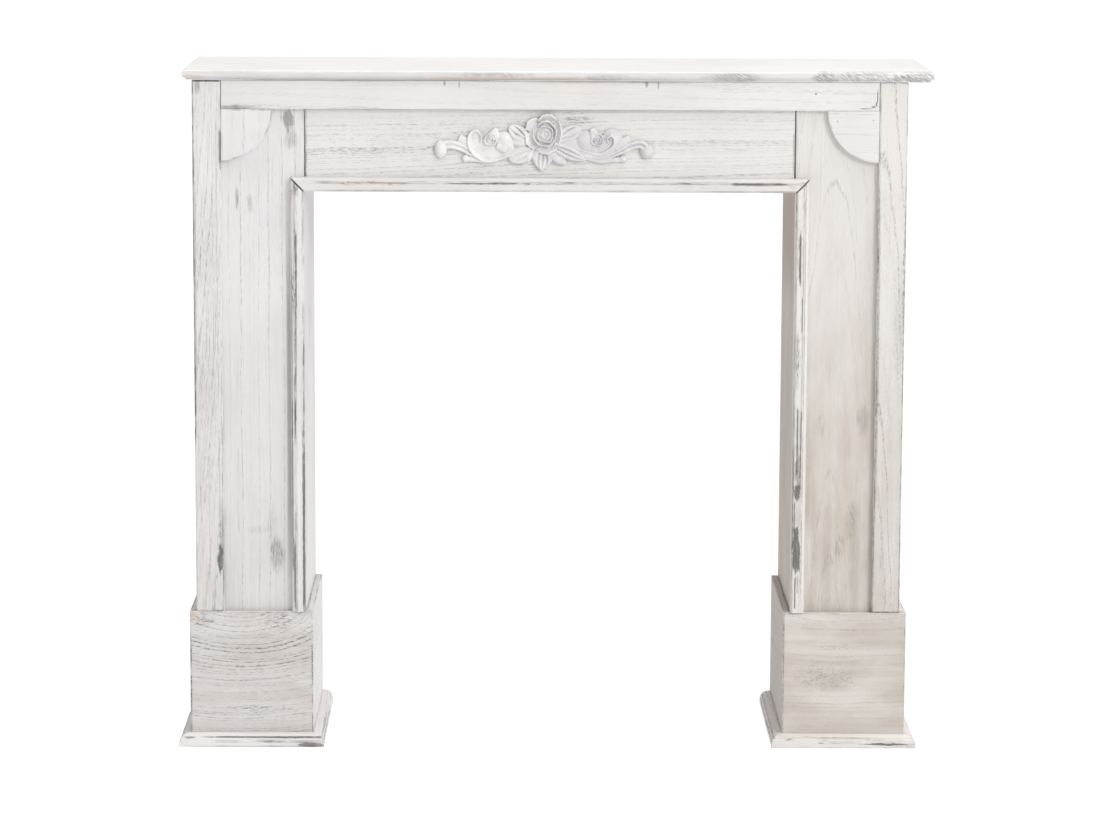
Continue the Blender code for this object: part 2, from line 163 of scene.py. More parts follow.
class MantelWear(bpy.types.PropertyGroup):
    """How far the edges are rounded and rubbed."""

    arris: length_property("Arris", "Rounding of a board's sharp edges", 0.0008)
    knock: length_property("Knocks", "Deepest wear on a board's edges", 0.0016)
    moulding_knock: length_property("Moulding knocks", "Deepest wear on a moulding", 0.0007)
    mitre_gap: length_property("Mitre gap", "Open joint at the opening's corners", 0.0026)
    foot_gap: length_property("Foot gap", "Gap at the foot moulding's corners", 0.0003)
    step: length_property("Step", "Length of the mesh's cells along a board", 0.006)
    rubbed: length_property("Rubbed width", "Widest band of rubbed paint along an edge", 0.0021)
    voxel: length_property("Carving step", "Size of the carving's mesh cells", 0.0007)


class MantelColours(bpy.types.PropertyGroup):
    """Colours of the wash, of what shows through it and of the wear."""

    cool: colour_property("Cool wash", "Wash on the left leg", (0.81, 0.80, 0.81))
    warm: colour_property("Warm wash", "Wash on the right leg", (0.79, 0.768, 0.748))
    frieze: colour_property("Frieze wash", "Wash over the opening", (0.80, 0.783, 0.778))
    # Also the colour of the painted highlight along the arrises
    shelf: colour_property("Shelf wash", "Wash on the shelf", (0.92, 0.92, 0.92))
    carving: colour_property("Carving paint", "Paint on the carved rose", (0.64, 0.632, 0.645))
    # Also the colour of the painted shade hazes on the shelf's nose and the right plinth's inner
    # side
    grain: colour_property("Grain", "Stain left in the pores", (0.21, 0.20, 0.19))
    # Also the colour of painted shade: the shade marks and the painted shadow line under the rail
    grime_and_shade: colour_property("Rubbed edge", "Stained wood under rubbed paint", (0.11, 0.105, 0.10))
    # Also the warm tint of the painted shade under the rail and at the top of the right jamb
    bare: colour_property("Bare wood", "Wood where the wash is gone", (0.58, 0.41, 0.29))
    # Darker and browner than the other washes: the right jamb's own tone and painted shade on the
    # faces turned from the key light
    jamb: colour_property("Jamb wash", "Thin wash on the right jamb", (0.64, 0.585, 0.535))
    # Darker, warmer tint that the wash takes in cloudy bands, and more so towards the floor
    darker_tint: colour_property("Aged wash", "Tint of the wash towards the floor", (0.66, 0.61, 0.55))


class MantelStudio(bpy.types.PropertyGroup):
    """The light and the floor."""

    key: bpy.props.FloatProperty(
        name="Key", description="Power of the light on the right", default=74, unit="POWER"
    )
    fill: bpy.props.FloatProperty(name="Fill", description="Light of the room", default=0.12)
    dome: bpy.props.FloatProperty(name="Dome", description="Soft light from overhead", default=1.95)
    glow: bpy.props.FloatProperty(name="Glow", description="Own light of the floor", default=0.96)
    floor: colour_property("Floor", "Colour of the floor", (0.10, 0.10, 0.10))


# Whitewashed wood

# How a board looks where its own entry says nothing else
WOOD = {
    "wash": "cool",  # its colour's name
    "axes": "ZXY",  # along, across and through its grain
    "heart": (0.0, 0.0),  # where the tree's middle lies, across and along the grain
    "depth": 0.030,  # how far through the grain it lies, counted backwards
    "tilt": 0.03,  # how far the tree leans out of the board
    "ring": 0.009,  # width of a growth ring
    "uneven": 2.6,  # how much the rings' widths differ
    "wobble": 0.006,  # how far the rings waver
    "lines": 0.35,  # strength of the rings, of the pores, of the threads and of the streaks
    "pores": 0.30,
    "fibre": 0.5,
    "streaks": 0.4,
    "short": 0.10,  # how short the pores are: 1 makes them round
    "bands": 0.12,  # how much the wash takes the darker tint, and how much more so towards the floor
    "fade": 0.10,
    "edge": 1.0,  # how far the arrises are worn, and how dark the line beside them is
    "rim": 0.55,
    "seed": 1.0,
    "marks": (),
    "behind": -0.118,  # the plane behind which nothing is marked
}
# Width of the dark line that ends a ring
RING_LINE = 0.0011

# Kinds of mark: colour, raggedness of the outline, how far the grain breaks it up, how far slanting
# scratches do, where its outline starts to fade (1 is its very edge), and whether it is as wide at
# its ends as in its middle
MARKS = {
    "smudge": ("grime_and_shade", 0.5, 0.45, 0.0, 0.35, False),
    "scuff": ("grime_and_shade", 0.9, 0.85, 0.0, 0.35, False),
    "wear": ("grime_and_shade", 0.85, 0.12, 0.0, 0.62, False),
    "line": ("grime_and_shade", 0.5, 0.12, 0.0, 0.65, True),
    "shade": ("grime_and_shade", 0.2, 0.10, 0.0, 0.35, True),
    "bare": ("bare", 0.6, 0.25, 0.0, 0.45, False),
    "strip": ("bare", 0.5, 0.20, 0.0, 0.55, True),
    "tint": ("bare", 0.3, 0.20, 0.0, 0.35, False),
    "nail": ("grime_and_shade", 0.0, 0.0, 0.0, 0.35, False),
    "haze": ("grain", 0.0, 0.0, 0.0, 0.35, True),
    "scored": ("grain", 0.5, 0.1, 0.8, 0.35, False),
}


def new_material(name):
    """A material, its node tree and its shader."""
    material = bpy.data.materials.new(name)
    material.use_nodes = True
    return material, material.node_tree, material.node_tree.nodes["Principled BSDF"]


class Grain:
    """A board's own directions, places that are stretched along its grain, and the dashes and the
    threads that many of its marks share."""

    def __init__(self, tree, wood):
        self.tree, seed = tree, wood["seed"]
        self.place = add(tree, "ShaderNodeTexCoord", output="Object")
        along, across, deep = (self.place.part(axis) for axis in wood["axes"])
        self.along, self.across, self.deep = along, across, deep
        self.shifted = self.place + (seed * 1.7, seed * 0.9, seed * 2.3)
        self.sway = join(tree, along * 0.35, across, deep) + (seed, seed * 2, seed * 3)
        self.run = join(tree, along * 0.12, across * 0.5, deep * 0.5) + (seed, seed * 4, seed)
        self.fibre = join(tree, along * wood["short"], across, deep) + (seed * 2, seed, seed * 5)
        self.thread = join(tree, along * 0.015, across, deep) + (seed * 3, seed, seed)
        self.dash = self.fibre.noise(900.0, 2.0, 0.6).step(0.50, 0.58)
        self.threads = self.thread.noise(420.0, 3.0, 0.65)


def ring_lines(grain, wood):
    """Lines where the board cuts the tree's growth rings, each of its own strength."""
    tree, seed = grain.tree, wood["seed"]
    heart_across, heart_along = wood["heart"]
    u = grain.across - heart_across + (grain.sway.noise(14.0, 2.0) - 0.5) * (2 * wood["wobble"])
    v = grain.deep + wood["depth"] + (grain.along - heart_along) * wood["tilt"]
    rings = join(tree, u, v, 0.0).length() / wood["ring"]
    rings = rings + (grain.fibre.noise(60.0, 2.0) - 0.5) * 0.5
    sockets = {"W": rings * 0.37 + seed, "Scale": 1.0, "Detail": 1.0}
    rings = rings + add(tree, "ShaderNodeTexNoise", sockets, noise_dimensions="1D") * wood["uneven"]
    turn = rings.calc("FRACT")
    sockets = {"W": rings.calc("FLOOR") + seed}
    own = add(tree, "ShaderNodeTexWhiteNoise", sockets, noise_dimensions="1D")
    thick = min(0.3, RING_LINE / wood["ring"])
    line = turn.step(1 - 2.2 * thick, 1 - thick) * turn.step(1.0, 1 - 0.5 * thick)
    return line * (own * 0.85 + 0.15)


def stained_grain(grain, wood):
    """How much stain shows through the wash: in rings, pores, threads and streaks."""
    dash, line = grain.dash, ring_lines(grain, wood)
    thin = grain.sway.noise(9.0, 3.0).step(0.35, 0.70)
    stain = line * (dash * 0.75 + 0.25) * wood["lines"]
    stain = stain + dash * (thin * 0.8 + 0.2) * wood["pores"] * (line * 0.7 + 0.3)
    stain = stain + grain.threads.step(0.50, 0.78) * (0.22 * wood["fibre"])
    streak = grain.thread.noise(150.0, 2.0).step(0.63, 0.74)
    streak = streak * grain.fibre.noise(120.0, 3.0).step(0.52, 0.66)
    return stain + streak * wood["streaks"]


def wash_colour(grain, wood, colours):
    """The wash itself: cloudy, threaded along the grain and darker and warmer towards the floor."""
    wash = getattr(colours, wood["wash"])
    full, dim = (tuple(c * share for c in wash) for share in (1.0, 0.90))
    base = blend(grain.shifted.noise(11.0, 3.0).step(0.45, 0.85) * 0.35, full, dim)
    tone = grain.shifted.noise(5.0, 2.0).step(0.25, 0.75) * 0.06 + 0.95
    base = base * (tone + (grain.threads - 0.5) * (0.10 * wood["fibre"]))
    drift = grain.sway.noise(21.0, 4.0, 0.6).step(0.30, 0.72)
    drift = drift + grain.thread.noise(90.0, 3.0).step(0.3, 0.75) * 0.4
    low = grain.place.part("Z").step(0.95, 0.05) * wood["fade"] + wood["bands"]
    return blend(low * (drift * 0.5 + 0.35), base, base * tuple(colours.darker_tint))


def rub_edges(colour, grain, wood, colours):
    """Rubs the paint off the arrises, by each point's distance to the nearest one, which the
    attribute edge holds. Gives the new colour and where the paint is gone."""
    edge = add(grain.tree, "ShaderNodeAttribute", output="Fac", attribute_name="edge")
    rub = grain.run.noise(48.0, 4.0, 0.6).step(0.44, 0.70)
    nibble = grain.fibre.noise(520.0, 3.0, 0.65)
    rubbed_width = bpy.context.scene.mantel_wear.rubbed * wood["edge"]
    width = (rub * rub + 0.22) * (nibble * 1.5) * rubbed_width
    worn = (width - edge).step(-0.0004, 0.0008) * nibble.step(0.32, 0.60)
    worn = worn * (rub * 0.75 + 0.25) * min(1.0, wood["edge"])

    halo = edge.step(0.009, 0.0) * rub * (grain.dash * 0.7 + 0.3) * (0.25 * wood["edge"])
    colour = blend(halo, colour, tuple(colours.grain))
    # Painted highlight: a pale line along each arris, in the shelf's wash colour
    colour = blend(edge.step(0.0008, 0.0002) * 0.6, colour, tuple(colours.shelf))

    gate = grain.run.noise(24.0, 3.0) * 0.5 + grain.sway.noise(60.0, 3.0) * 0.5
    gate = gate.step(0.42, 0.57) * 0.92 + 0.08
    rim = edge.step(0.0003, 0.0009) * edge.step(0.0030, 0.0012)
    rim = rim * (nibble.step(0.35, 0.52) * 0.7 + 0.3) * gate * wood["rim"]
    colour = blend(rim, colour, tuple(colours.grime_and_shade))

    tan = grain.shifted.noise(8.0, 1.0).step(0.70, 0.76)
    rubbed = blend(tan, tuple(colours.grime_and_shade), tuple(colours.bare))
    return blend(worn, colour, rubbed), worn


def add_marks(colour, grain, wood, colours):
    """Lays worn or stained patches over a colour. A mark is its kind, its x and z, its half width
    and half height in millimetres, and its depth. Outlines are ragged along the grain."""
    if not wood["marks"]:
        return colour
    place, behind = grain.place, wood["behind"]
    front = place.part("Y").step(behind + 0.002, behind)
    ragged = grain.sway.noise(160.0, 6.0, 0.72)
    slant = join(grain.tree, place.part("X") * 0.6 + place.part("Z"), place.part("X") * 0.2, 0.0)
    hatch = slant.noise(520.0, 2.0, 0.6).step(0.64, 0.38)
    for kind, *sizes, depth in wood["marks"]:
        x, z, wide, high = (size / 1000 for size in sizes)
        pigment, rough, broken, scored, fade, even = MARKS[kind]
        away = ((place - (x, 0.0, z)) * (1 / wide, 0.0, 1 / high)).calc("ABSOLUTE")
        reach = away.part("X").most(away.part("Z")) if even else away.length()
        shape = reach + (ragged - 0.5) * (2.2 * rough)
        mask = shape.step(1.0, fade) * front * depth
        mask = mask * (grain.dash * broken + (1 - broken)) * (hatch * scored + (1 - scored))
        colour = blend(mask, colour, tuple(getattr(colours, pigment)))
    return colour


def whitewash(name, **look):
    """Wood under a thin white wash: growth rings, pores, rubbed edges and single marks."""
    wood = {**WOOD, **look}
    colours = bpy.context.scene.mantel_colours
    material, tree, shader = new_material(name)
    grain = Grain(tree, wood)
    stain = stained_grain(grain, wood)
    colour = blend(stain, wash_colour(grain, wood, colours), tuple(colours.grain))
    colour, worn = rub_edges(colour, grain, wood, colours)
    colour = add_marks(colour, grain, wood, colours)

    plug(tree, colour, shader.inputs["Base Color"])
    plug(tree, (stain + worn).least(1.0) * 0.25 + 0.55, shader.inputs["Roughness"])
    shader.inputs["Specular IOR Level"].default_value = 0.35
    height = grain.threads * 0.35 - stain * 0.9 - worn * 0.8
    height = height + grain.shifted.noise(600.0, 2.0) * 0.15
    sockets = {"Strength": 0.55, "Distance": 0.0005, "Height": height}
    plug(tree, add(tree, "ShaderNodeBump", sockets), shader.inputs["Normal"])
    return material


# Making pieces

def finish_piece(piece, node, sharp=40):
    """Points the faces outwards, shades the piece and lets it stand for its CAD node."""
    mesh = piece.data
    shape = bmesh.new()
    shape.from_mesh(mesh)
    bmesh.ops.recalc_face_normals(shape, faces=shape.faces)
    shape.to_mesh(mesh)
    shape.free()
    mesh.shade_smooth()
    mesh.set_sharp_from_angle(angle=math.radians(sharp))
    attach(piece, "root")
    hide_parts(node)
    return piece


def new_object(name, data):
    made = bpy.data.objects.new(name, data)
    bpy.context.scene.collection.objects.link(made)
    return made


def skin(shape, loops):
    """Joins closed loops of vertices in order and caps both ends."""
    count = len(loops[0])
    for one, two in zip(loops, loops[1:]):
        for i in range(count):
            k = (i + 1) % count
            shape.faces.new((one[i], one[k], two[k], two[i]))
    shape.faces.new(loops[0])
    shape.faces.new(loops[-1])


def mesh_of_rings(name, rings):
    """A closed mesh over rings of points, each with its distance to the nearest arris."""
    shape = bmesh.new()
    edge = shape.verts.layers.float.new("edge")
    loops = []
    for ring in rings:
        loops.append([shape.verts.new(point) for *point, _ in ring])
        for vert, (*_, distance) in zip(loops[-1], ring):
            vert[edge] = distance
    skin(shape, loops)
    mesh = bpy.data.meshes.new(name)
    shape.to_mesh(mesh)
    shape.free()
    return mesh


def grow(name, tree, values):
    """A plain mesh made by a node tree from the values of its named inputs."""
    piece = new_object(name, bpy.data.meshes.new(name))
    modifier = piece.modifiers.new("shape", "NODES")
    modifier.node_group = tree
    for item in tree.interface.items_tree:
        if item.in_out == "INPUT":
            modifier[item.identifier] = values[item.name]
    graph = bpy.context.evaluated_depsgraph_get()
    mesh = bpy.data.meshes.new_from_object(piece.evaluated_get(graph))
    piece.modifiers.remove(modifier)
    piece.data = mesh
    mesh.name = name
    return piece


def start_tree(name, inputs):
    tree = bpy.data.node_groups.new(name, "GeometryNodeTree")
    for title, kind in inputs:
        tree.interface.new_socket(title, in_out="INPUT", socket_type="NodeSocket" + kind)
    tree.interface.new_socket("Geometry", in_out="OUTPUT", socket_type="NodeSocketGeometry")
    given = tree.nodes.new("NodeGroupInput")
    return tree, [Field(tree, given.outputs[title]) for title, _ in inputs]


def end_tree(tree, geometry, finish):
    real = add(tree, "GeometryNodeRealizeInstances", {0: geometry})
    done = add(tree, "GeometryNodeSetMaterial", {"Geometry": real, "Material": finish})
    out = tree.nodes.new("NodeGroupOutput")
    plug(tree, done, out.inputs[0])
    return tree


# Boards

# Cells across the band along each arris, and the band's width
EDGE_CELLS = 3
EDGE_BAND = 0.004


def worn_board_tree():
    """A rounded box with unevenly worn arrises. The attribute edge holds the distance to the
    nearest arris."""
    tree, inputs = start_tree(
        "worn_board",
        (
            ("Size", "Vector"),
            ("Centre", "Vector"),
            ("Cells", "Vector"),
            ("Arris", "Float"),
            ("Knock", "Float"),
            ("Seed", "Float"),
            ("Finish", "Material"),
        ),
    )
    size, centre, cells, arris, knock, seed, finish = inputs
    counts = {"Vertices " + axis: cells.part(axis) + (2 * EDGE_CELLS + 1.01) for axis in "XYZ"}
    box = add(tree, "GeometryNodeMeshCube", {"Size": 1.0, **counts})

    half = size * 0.5
    where = add(tree, "GeometryNodeInputPosition")
    share = where.calc("ABSOLUTE") * 2.0
    middle = cells / (cells + 2.0 * EDGE_CELLS)
    outer = ((1 - share) / (1 - middle)).least(1.0)
    reach = (share / middle).least(1.0) * (half - EDGE_BAND)
    place = (reach + (1 - outer * outer) * EDGE_BAND) * where.calc("SIGN")
    gap = half - place.calc("ABSOLUTE")
    x, y, z = (gap.part(axis) for axis in "XYZ")
    nearest = x + y + z - x.most(y).most(z) - x.least(y).least(z)
    sockets = {"Geometry": box, "Name": "edge", "Value": nearest}
    tagged = add(tree, "GeometryNodeStoreNamedAttribute", sockets)

    rub = (place + seed).noise(45.0, 3.0).step(0.52, 0.74)
    fine = (place + seed).noise(160.0)
    radius = arris * (fine + 0.6) + knock * rub * fine * 1.6
    core = half - radius
    inner = place.most(core * -1.0).least(core)
    rounded = inner + (place - inner).calc("NORMALIZE") * radius
    sockets = {"Geometry": tagged, "Position": rounded + centre}
    return end_tree(tree, add(tree, "GeometryNodeSetPosition", sockets), finish)


def board_grain(axes, wash, seed, **look):
    return {"axes": axes, "wash": wash, "seed": seed, **look}


BOARDS = {
    "top_rail": board_grain(
        "XZY", "frieze", 3.1, heart=(0.99, 0.1), depth=0.05, tilt=0.01, ring=0.006, lines=0.14,
        pores=0.18, streaks=0.12, edge=0.4, rim=0.18,
        marks=(
            ("nail", 379.2, 968.2, 2.2, 1.8, 0.9),
            ("smudge", -460, 946, 45, 5, 0.7),
            ("wear", -158.5, 981.5, 2, 5.5, 0.55),
            ("wear", -137.3, 980, 1.3, 6.5, 0.5),
            ("wear", 134, 981.5, 2.6, 5.5, 0.6),
            ("wear", 151, 979.5, 1.3, 7, 0.55),
            ("shade", 468.8, 964, 1.2, 11, 0.9),
            ("shade", 467.2, 953.5, 1.8, 4, 0.9),
            ("shade", 463, 949.5, 4, 1.8, 0.9),
            ("shade", 452, 947, 11, 0.9, 0.85),
            ("tint", 80, 982.5, 150, 4, 0.16),
            ("smudge", 90, 984, 170, 1.8, 0.4),
        ),
    ),
    "frieze_board": board_grain(
        "XZY", "frieze", 5.3, heart=(0.80, 0.2), depth=0.10, tilt=0.06, ring=0.0042, lines=0.42,
        pores=0.34, streaks=0.20, edge=0.35, short=0.16, fibre=0.7,
        marks=(
            ("scuff", 34, 930.5, 28, 4.5, 0.65),
            ("scuff", 40, 924.5, 22, 3, 0.45),
            ("scuff", 30, 938.5, 30, 4, 0.5),
            # Painted shade under the rail: a warm brown tint and a dark shadow line along the
            # rail's bottom edge
            ("tint", 40, 941, 150, 4, 0.16),
            ("line", -10, 943.4, 440, 0.8, 0.9),
        ),
    ),
    "opening_soffit": board_grain("XYZ", "frieze", 6.1, edge=0.4),
    "left_stile": board_grain(
        "ZXY", "cool", 7.7, heart=(-0.56, 0.35), depth=0.02, tilt=0.05, ring=0.0034, lines=0.44,
        pores=0.34, fibre=1.8, streaks=0.22, edge=1.2, wobble=0.004, fade=0.3,
        marks=(
            ("smudge", -516.2, 975, 6, 12, 0.5),
            ("smudge", -485, 318, 6, 45, 0.6),
            ("wear", -488.5, 281.5, 5.2, 24, 0.96),
            ("tint", -486.8, 276, 3, 12, 0.14),
            ("line", -503, 983.8, 23, 1.4, 0.9),
            ("line", -479.5, 243, 1.1, 20, 0.75),
            ("wear", -484, 885, 2, 32, 0.8),
            ("smudge", -522.5, 700, 3, 300, 0.55),
            ("line", -479, 650, 1.1, 22, 0.95),
            ("line", -478.8, 650, 0.9, 180, 0.6),
            ("line", -478.9, 410, 1.1, 110, 0.85),
        ),
    ),
    "right_stile": board_grain(
        "ZXY", "warm", 9.2, heart=(0.475, 0.05), depth=0.136, tilt=0.055, ring=0.0075, lines=0.42,
        pores=0.36, fibre=0.8, streaks=0.26, edge=1.2, fade=0.75, short=0.22, rim=0.7, wobble=0.009,
        marks=(
            ("smudge", 475, 560, 3, 300, 0.6),
            ("scuff", 512, 700, 3, 110, 0.7),
            ("smudge", 505, 640, 12, 120, 0.18),
        ),
    ),
    "left_leg_front": board_grain(
        "ZXY", "cool", 11.4, heart=(-0.60, 0.3), depth=0.13, tilt=0.0, ring=0.0165, lines=0.66,
        pores=0.22, fibre=1.0, streaks=0.18, edge=0.5, wobble=0.0024, fade=0.30, rim=0.4,
        uneven=1.0,
        marks=(
            ("wear", -385.6, 928, 9, 19, 0.62),
            ("smudge", -382, 900, 12, 20, 0.45),
            ("smudge", -460.5, 813, 4, 20, 0.65),
            ("smudge", -442, 805, 6, 20, 0.35),
            ("smudge", -404.2, 286, 14, 36, 0.42),
            ("scuff", -404.2, 285, 12, 26, 0.35),
            ("smudge", -412, 325, 10, 50, 0.16),
            ("smudge", -433, 322, 22, 8, 0.12),
            # Painted shadow of the opening moulding on the panel beside it
            ("shade", -386, 510, 4.6, 310, 0.4),
        ),
    ),
    "right_leg_front": board_grain(
        "ZXY", "warm", 13.9, heart=(0.41, 0.10), depth=0.131, tilt=0.075, ring=0.0078, lines=0.25,
        pores=0.20, fibre=0.9, streaks=0.15, edge=0.4, fade=1.15, bands=0.20, rim=0.3, wobble=0.008,
        marks=(
            ("smudge", 456, 488, 12, 30, 0.42),
            ("scuff", 395, 478, 9, 24, 0.26),
            ("scuff", 441, 340, 12, 34, 0.42),
            ("scuff", 424, 300, 8, 36, 0.4),
            ("smudge", 445, 270, 12, 40, 0.14),
            ("tint", 430, 360, 12, 200, 0.16),
            ("tint", 462, 470, 16, 90, 0.05),
            ("tint", 395, 420, 10, 120, 0.12),
        ),
    ),
    "left_plinth_front": board_grain(
        "XZY", "cool", 15.2, heart=(0.235, -0.460), depth=0.134, tilt=0.60, ring=0.0052, lines=0.72,
        pores=0.42, fibre=1.0, streaks=0.25, edge=1.1, wobble=0.006, fade=0.60, short=0.20, rim=0.9,
        marks=(
            ("bare", -530, 195, 7, 7, 0.65),
            ("scuff", -515, 187, 22, 12, 0.6),
            ("scuff", -405, 187, 30, 18, 0.45),
            ("scuff", -440, 55, 60, 6, 0.5),
        ),
    ),
    "right_plinth_front": board_grain(
        "XZY", "warm", 17.8, heart=(0.26, 0.43), depth=0.134, tilt=0.35, ring=0.008, lines=0.30,
        pores=0.34, fibre=0.3, streaks=0.15, edge=0.6, wobble=0.010, fade=0.85, short=0.28,
        bands=0.15, rim=0.7,
        marks=(
            ("scuff", 405.4, 105, 50, 30, 0.4),
            ("scuff", 426, 150, 50, 6, 0.3),
        ),
    ),
}


def side_boards(label, wash, jamb, seed, fibre, bands, shade=(), haze=()):
    """Looks of the boards on both sides of a leg and its plinth. The inner ones are marked right
    through to the back."""
    leg, plinth = label + "_leg_", label + "_plinth_"
    return {
        leg + "inner_side": board_grain(
            "ZYX", jamb, seed, ring=0.012, edge=0.7, fibre=fibre, bands=bands, marks=shade,
            behind=0.2,
        ),
        leg + "outer_side": board_grain("ZYX", wash, seed + 1.5, ring=0.010),
        plinth + "inner_side": board_grain(
            "YZX", jamb, seed + 2.6, ring=0.012, marks=haze, behind=0.2
        ),
        plinth + "outer_side": board_grain("YZX", wash, seed + 3.7, ring=0.012),
    }


BOARDS.update(side_boards("left", "cool", "cool", 21.0, 1.0, 0.0))
BOARDS.update(
    side_boards(
        "right", "warm", "jamb", 31.0, 1.5, 0.5,
        # Painted shade: the top of the right jamb darker and browner under the header, and the
        # right plinth's inner face greyer
        shade=(("shade", 357, 820, 300, 200, 0.44), ("tint", 357, 800, 300, 140, 0.32)),
        haze=(("haze", 345, 100, 300, 300, 0.2),),
    )
)


class MANTEL_OT_boards(bpy.types.Operator):
    """Make every flat board, its arrises rounded and worn"""

    bl_idname = "mantel.boards"
    bl_label = "Make boards"

    def execute(self, context):
        wear = context.scene.mantel_wear
        tree = worn_board_tree()
        for node, look in BOARDS.items():
            low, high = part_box(node)
            size = high - low
            longest = max(size)
            steps = []
            for length in size:
                cell = wear.step if length > 0.8 * longest or length > 0.15 else 0.03
                steps.append(float(max(1, round((length - 2 * EDGE_BAND) / cell))))
            values = {
                "Size": tuple(size),
                "Centre": tuple((low + high) / 2),
                "Cells": tuple(steps),
                "Arris": wear.arris,
                "Knock": wear.knock * look.get("edge", 1.0),
                "Seed": look["seed"],
                "Finish": whitewash("wash_" + node, **look),
            }
            piece = grow("worn_" + node, tree, values)
            finish_piece(piece, node)
        return {"FINISHED"}


# Mouldings

def arc(centre, radii, start, end, steps):
    """Points of an ellipse's arc, angles in degrees."""
    turns = (math.radians(start + (end - start) * i / steps) for i in range(steps + 1))
    return [(centre[0] + radii[0] * math.cos(t), centre[1] + radii[1] * math.sin(t)) for t in turns]


def moulding_tree():
    """A straight moulding: a closed profile drawn out along a line, its ends cut to a mitre."""
    tree, inputs = start_tree(
        "moulding_run",
        (
            ("Profile", "Object"),
            ("Length", "Float"),
            ("Step", "Float"),
            ("Start Mitre", "Float"),
            ("End Mitre", "Float"),
            ("Gap", "Float"),
            ("Knock", "Float"),
            ("Seed", "Float"),
            ("Origin", "Vector"),
            ("Along", "Vector"),
            ("Across", "Vector"),
            ("Out", "Vector"),
            ("Finish", "Material"),
        ),
    )
    profile, length, step, start, end, gap, knock, seed, origin, along, across, out, finish = inputs
    cells = (length / step).calc("CEIL")
    offset = join(tree, length / cells, 0.0, 0.0)
    line = add(tree, "GeometryNodeMeshLine", {"Count": cells + 1.01, "Offset": offset})
    path = add(tree, "GeometryNodeMeshToCurve", {0: line})
    ring = add(tree, "GeometryNodeObjectInfo", {"Object": profile}, "Geometry")
    section = add(tree, "GeometryNodeMeshToCurve", {0: ring})
    sockets = {0: path, "Profile Curve": section, "Fill Caps": True}
    run = add(tree, "GeometryNodeCurveToMesh", sockets)

    where = add(tree, "GeometryNodeInputPosition")
    normal = add(tree, "GeometryNodeInputNormal")
    edge = add(tree, "GeometryNodeInputNamedAttribute", {"Name": "edge"}, "Attribute",
               data_type="FLOAT")
    rub = (where + seed).noise(40.0, 3.0).step(0.50, 0.72) * edge.step(0.003, 0.0)
    depth = rub * (where + seed).noise(170.0) * knock * -2.0
    sockets = {"Geometry": run, "Offset": normal * depth}
    worn = add(tree, "GeometryNodeSetPosition", sockets)

    x, side, lift = where.part("X"), where.part("Y") * -1.0, where.part("Z") * -1.0
    mitre = side - gap / math.sqrt(2)
    share = x / length
    x = x - mitre * start * (1 - share) + mitre * end * share
    place = origin + along * x + across * side + out * lift
    laid = add(tree, "GeometryNodeSetPosition", {"Geometry": worn, "Position": place})
    return end_tree(tree, laid, finish)


def profile_ring(name, points, arrises):
    """A closed profile as a ring of edges, with each point's distance to the nearest arris."""
    marks = [Vector(point) for point in arrises]
    mesh = bpy.data.meshes.new(name)
    count = len(points)
    mesh.from_pydata(
        [(a, d, 0) for a, d in points], [(i, (i + 1) % count) for i in range(count)], []
    )
    held = mesh.attributes.new("edge", "FLOAT", "POINT")
    for point, value in zip(points, held.data):
        value.value = min((Vector(point) - mark).length for mark in marks)
    return new_object(name, mesh)


def opening_profile(width, depth):
    """Counter-clockwise from the opening's edge: width across the board, depth off it."""
    slope, edge, inner = 0.0068, 0.006, 0.004
    flat = width - slope
    under = [(width * k, 0) for k in (0, 0.25, 0.5, 0.75, 1)]
    outside = arc((flat, edge), (slope, depth - edge - 0.0008), 0, 90, 8)
    top = [(flat - 0.0004, depth)]
    for k in (0.2, 0.5, 0.8):
        top.append((flat + (inner - flat) * k, depth - 0.0002 * math.sin(math.pi * k)))
    inside = arc((inner, depth - inner), (inner, inner), 90, 180, 8)
    points = under + outside + top + inside
    arrises = [(flat, depth - 0.0005), (inner * 0.4, depth - inner * 0.4), (width, edge)]
    return points, arrises


def foot_profile(reach, height, gap):
    """Counter-clockwise from the floor at the plinth's face: an upright, a round and a bead that a
    fine groove sets off from it."""
    upright, bead = 0.0085, 0.0032
    shoulder = bead + gap
    points = [(gap, 0), ((gap + reach) / 2, 0), (reach - 0.0006, 0), (reach, 0.0006)]
    points += [(reach, upright * 0.5), (reach, upright - 0.0005), (reach - 0.0008, upright)]
    middle = (shoulder, upright + 0.0006)
    sweep = arc(middle, (reach - shoulder - 0.0012, height - upright - 0.0012), 0, 90, 16)
    sunk = [middle[i] + (sweep[6][i] - middle[i]) * 0.90 for i in (0, 1)]
    points += sweep[:6] + [tuple(sunk)] + sweep[7:]
    points += [(shoulder, height - 0.0004), (shoulder - 0.0005, height), (gap, height)]
    arrises = [(reach, upright), (reach, 0), tuple(sunk)]
    return points, arrises


def lay_run(tree, node, ring, run, out, gap, step, look):
    """One length of moulding. A run is its start, its end, the way across and its two mitres."""
    start, end, across, mitres = run
    start, end = Vector(start), Vector(end)
    values = {
        "Profile": ring,
        "Length": (end - start).length,
        "Step": step,
        "Start Mitre": float(mitres[0]),
        "End Mitre": float(mitres[1]),
        "Gap": gap,
        "Knock": bpy.context.scene.mantel_wear.moulding_knock,
        "Seed": look["seed"],
        "Origin": tuple(start),
        "Along": tuple((end - start).normalized()),
        "Across": tuple(float(v) for v in across),
        "Out": tuple(float(v) for v in out),
        "Finish": whitewash("wash_" + node, **look),
    }
    return finish_piece(grow("worn_" + node, tree, values), node, 32)


